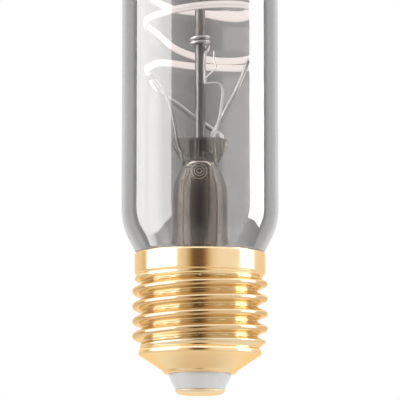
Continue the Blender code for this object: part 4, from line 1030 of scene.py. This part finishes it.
# What the glass mirrors, the gold mirrors, and the glass lets through, round the bulb
GLASS_SEES = [
    (-180, 1.0), (-122, 0.95), (-115, 0.25), (-108, 0.5), (-60, 0.9), (-35, 0.82),
    (-25, (0.62, 0.58, 0.52)), (-14, (0.26, 0.2, 0.155)), (0, (0.155, 0.1, 0.075)),
    (8, (0.2, 0.14, 0.1)), (14, (0.42, 0.37, 0.32)), (22, 0.74), (35, 0.86), (74, 0.92),
    (111, 0.35), (116, 0.3), (123, 0.95), (180, 1.0),
]
GLASS_UNDER = (0.80, 0.775, 0.74, 1.0)
GOLD_SEES = [
    (-180, (1.15, 1.1, 1.0)), (-144, (0.95, 1.0, 1.05)), (-130, (0.89, 0.87, 0.865)),
    (-118, (0.75, 0.63, 0.5)), (-106, (0.74, 0.62, 0.5)), (-90, (0.86, 0.9, 1.05)),
    (-33, (0.9, 0.87, 0.82)), (-24, (0.78, 0.7, 0.57)), (-18, (0.5, 0.37, 0.22)),
    (-12, (0.17, 0.11, 0.055)), (0, (0.14, 0.09, 0.065)), (6, (0.16, 0.1, 0.06)),
    (13, (0.5, 0.37, 0.22)), (21, (0.85, 0.78, 0.67)), (35, (0.97, 0.97, 1.0)), (74, 1.0),
    (110, 0.95), (130, (0.93, 0.94, 1.0)), (180, (1.15, 1.1, 1.0)),
]
GOLD_ABOVE = (1.25, 1.35, 1.5, 1.0)
GOLD_UNDER = [(-85.0, (0.76, 0.69, 0.6)), (-55.0, (0.8, 0.76, 0.68)), (-35.0, (0.9, 0.88, 0.85))]
THROUGH_SEES = [
    (-180, 0.8), (-177, 1.0), (-172, 1.01), (-166, 0.82), (-150, 0.6), (-110, 0.72), (-20, 1.0),
    (0, 0.8), (20, 1.0), (110, 0.72), (150, 0.6), (166, 0.82), (172, 1.02), (176, 1.08),
    (178, 1.02), (180, 0.8),
]
OVERHEAD_GLOW = (2.0, 2.0, 2.0)
WHITE = (1.0, 1.0, 1.0, 1.0)

# The softboxes: left and right azimuth with the edge's softness, the line of the foot by azimuth
# and its softness, the heights between which the top fades, and the strengths by kind of ray
LEFT_SIDES = (-106.6, -42.5, 0.7)
LEFT_FOOT = [
    (-108, -31.0), (-103, -30.5), (-94, -32.8), (-82, -34.2), (-70, -31.8), (-59, -26.8),
    (-49, -22.0), (-44, -17.5),
]
LEFT_FOOT_EDGE = 2.0
LEFT_SHINE = [
    (-107, 0.85), (-100, 0.98), (-92, 1.05), (-80, 0.95), (-65, 0.9), (-52, 0.84), (-42, 0.8),
]
LEFT_STRENGTH = {"sharp": 10.2, "soft": 1.8, "through": 1.6, "deep": 6.0, "matt": 0.55}
RIGHT_SIDES = (77.6, 108.0, 0.6)
RIGHT_FOOT = [(75, -14.4), (90, -14.9), (96, -15.8), (102, -17.2), (109, -18.4)]
RIGHT_FOOT_EDGE = 1.0
RIGHT_STRENGTH = {"sharp": 14.0, "soft": 3.0, "through": 1.5, "deep": 6.0, "matt": 1.3}
SOFTBOX_TOP = (65.0, 50.0)
# On gold the softboxes are dimmer outside a band of heights, and bluer
BAND_FOOT = (-8.0, 2.0)
BAND_TOP = (26.0, 14.0)
BAND_DIM = 0.2
SOFTBOX_TINT = (1.0, 1.3, 1.85, 1.0)


def by_azimuth(pairs):
    """Ramp stops from (azimuth, value) pairs, -180 to 180 round the bulb, 0 in front."""
    return [((a + 180.0) / 360.0, v) for a, v in pairs]


def by_height(pairs):
    """Ramp stops from (height, value) pairs, -90 to 90."""
    return [((e + 90.0) / 180.0, v) for e, v in pairs]


def product(tree, *values):
    total = values[0]
    for value in values[1:]:
        total = math_node(tree, "MULTIPLY", total, value)
    return total


def added(tree, light, factor, base):
    """A light times a factor, on top of a base, all as colours."""
    made = node(tree, "VectorMath", operation="MULTIPLY_ADD", in_0=light, in_1=factor, in_2=base)
    return made.outputs[0]


def softbox(tree, azimuth, height, turn, sides, foot, soft):
    """1 inside a softbox between two azimuths, above a foot line given by azimuth, 0 outside."""
    left, right, edge = sides
    line = ramp(tree, turn, by_azimuth([(a, (e + 90.0) / 180.0) for a, e in foot]))
    line = math_node(tree, "MULTIPLY_ADD", line, 180.0, -90.0)
    return product(
        tree,
        edge_mask(tree, azimuth, left - edge, left + edge),
        edge_mask(tree, azimuth, right + edge, right - edge),
        edge_mask(tree, math_node(tree, "SUBTRACT", height, line), -soft, soft),
        edge_mask(tree, height, *SOFTBOX_TOP),
    )


def softbox_light(tree, rays, box, shine, band, strength):
    """A softbox's strength for sharp and soft reflections, for refraction and for the rest."""
    refracted = math_node(tree, "MULTIPLY_ADD", rays["deep"], strength["deep"],
                          strength["through"])
    light = product(tree, box, strength["matt"])
    light = mixed(tree, rays["sharp"], light, product(tree, shine, strength["sharp"]))
    light = mixed(tree, rays["soft"], light, product(tree, box, band, strength["soft"]))
    return mixed(tree, rays["inside"], light, product(tree, box, refracted))


def kinds_of_ray(tree):
    """Masks of the rays that the light tells apart."""
    path = node(tree, "LightPath").outputs
    glossy = path["Is Glossy Ray"]
    inside = path["Is Transmission Ray"]
    # A ray that clear glass refracts counts as glossy too
    outside = math_node(tree, "SUBTRACT", glossy, product(tree, glossy, inside))
    sharp = product(tree, outside, path["Is Singular Ray"])
    # Light that the wires in the tube mirror, and light that comes through the stem as well
    mirrored = product(tree, math_node(tree, "GREATER_THAN", path["Glossy Depth"], 0.5),
                       math_node(tree, "GREATER_THAN", path["Transmission Depth"], 3.5))
    buried = math_node(tree, "GREATER_THAN", path["Transmission Depth"], 4.5)
    return {
        "camera": path["Is Camera Ray"],
        "inside": inside,
        "sharp": sharp,
        "soft": math_node(tree, "SUBTRACT", outside, sharp),
        "mirrored": mirrored,
        "deep": math_node(tree, "MAXIMUM", mirrored, buried),
    }


def surroundings(tree, rays, height, turn):
    """The studio without its softboxes: white behind and a narrow dark card in front."""
    glass = ramp(tree, turn, by_azimuth(GLASS_SEES))
    glass = mixed(tree, edge_mask(tree, height, -20.0, -60.0), glass, GLASS_UNDER)
    level = math_node(tree, "MULTIPLY_ADD", height, 1 / 180.0, 0.5)
    gold = ramp(tree, turn, by_azimuth(GOLD_SEES))
    gold = mixed(tree, edge_mask(tree, height, -38.0, -76.0), gold,
                 ramp(tree, level, by_height(GOLD_UNDER)))
    gold = mixed(tree, edge_mask(tree, height, 13.0, 25.0), gold, GOLD_ABOVE)
    base = mixed(tree, rays["soft"], glass, gold)
    base = mixed(tree, rays["inside"], base, ramp(tree, turn, by_azimuth(THROUGH_SEES)))
    overhead = product(tree, edge_mask(tree, height, 15.0, 45.0),
                       product(tree, rays["inside"], rays["mirrored"]))
    return added(tree, overhead, OVERHEAD_GLOW, base)


def make_light():
    """A soft studio with softboxes left and right, which each kind of ray sees a little apart."""
    world = bpy.data.worlds.new("studio")
    bpy.context.scene.world = world
    world.use_nodes = True
    tree = world.node_tree
    tree.nodes.clear()
    place = node(tree, "TexCoord").outputs["Generated"]
    xyz = node(tree, "SeparateXYZ", in_0=place).outputs
    toward = math_node(tree, "MULTIPLY", xyz[1], -1.0)
    azimuth = product(tree, math_node(tree, "ARCTAN2", xyz[0], toward), 180.0 / math.pi)
    height = product(tree, math_node(tree, "ARCSINE", xyz[2]), 180.0 / math.pi)
    turn = math_node(tree, "MULTIPLY_ADD", azimuth, 1 / 360.0, 0.5)
    rays = kinds_of_ray(tree)

    left = softbox(tree, azimuth, height, turn, LEFT_SIDES, LEFT_FOOT, LEFT_FOOT_EDGE)
    right = softbox(tree, azimuth, height, turn, RIGHT_SIDES, RIGHT_FOOT, RIGHT_FOOT_EDGE)
    shine = product(tree, ramp(tree, turn, by_azimuth(LEFT_SHINE)), left)
    band = product(tree, edge_mask(tree, height, *BAND_FOOT), edge_mask(tree, height, *BAND_TOP))
    band = math_node(tree, "MULTIPLY_ADD", band, 1.0 - BAND_DIM, BAND_DIM)
    tint = mixed(tree, rays["soft"], WHITE, SOFTBOX_TINT)
    lit = surroundings(tree, rays, height, turn)
    left = softbox_light(tree, rays, left, shine, band, LEFT_STRENGTH)
    lit = added(tree, left, tint, lit)
    right = softbox_light(tree, rays, right, right, band, RIGHT_STRENGTH)
    lit = added(tree, right, tint, lit)
    background = node(tree, "Background", in_Color=mixed(tree, rays["camera"], lit, WHITE))
    output = node(tree, "OutputWorld")
    tree.links.new(background.outputs[0], output.inputs[0])


# Sizes from here on are in metres
FLOOR_SIZE = 3.0
FLOOR_Z = -0.35
CAMERA_LENS = 290.0
CAMERA_SENSOR = 36.0
CAMERA_PLACE = (0.0, -0.62, -0.045)
CAMERA_TARGET = (0.0, 0.0, 0.0379)


def make_floor():
    """A pale floor far below, which neither the gold mirrors nor the glass shows."""
    mesh = bpy.data.meshes.new("studio_floor")
    ends = (-FLOOR_SIZE, FLOOR_SIZE)
    corners = [(x, y, FLOOR_Z) for y in ends for x in ends]
    mesh.from_pydata(corners, [], [(0, 1, 3, 2)])
    mesh.materials.append(material("pale_floor", (0.9, 0.9, 0.9), 0.8)[0])
    floor = bpy.data.objects.new("studio_floor", mesh)
    bpy.context.scene.collection.objects.link(floor)
    floor.visible_glossy = False
    floor.visible_transmission = False


def make_camera():
    camera = bpy.data.cameras.new("camera")
    camera.lens = CAMERA_LENS
    camera.sensor_width = CAMERA_SENSOR
    camera.clip_start = 0.01
    obj = bpy.data.objects.new("camera", camera)
    bpy.context.scene.collection.objects.link(obj)
    obj.location = CAMERA_PLACE
    obj.rotation_euler = (Vector(CAMERA_TARGET) - obj.location).to_track_quat("-Z", "Y").to_euler()
    bpy.context.scene.camera = obj


# Making the scene

scene = bpy.context.scene
scene.view_settings.view_transform = "Standard"
scene.cycles.max_bounces = 24
scene.cycles.transmission_bounces = 20
scene.cycles.transparent_max_bounces = 16
scene.cycles.glossy_bounces = 8
materials = {}
glass_materials(materials)
wire_materials(materials)
gold_material(materials)
filament_material(materials)
grained_materials(materials)
dress_cad(materials)
make_tube(materials)
make_stem(materials)
make_stem_details(materials)
make_post(materials)
make_left_wires(materials)
make_right_wires(materials)
make_post_wires(materials)
make_top_wires(materials)
make_filament(materials)
make_shell(materials)
make_cap_foot(materials)
make_light()
make_floor()
make_camera()
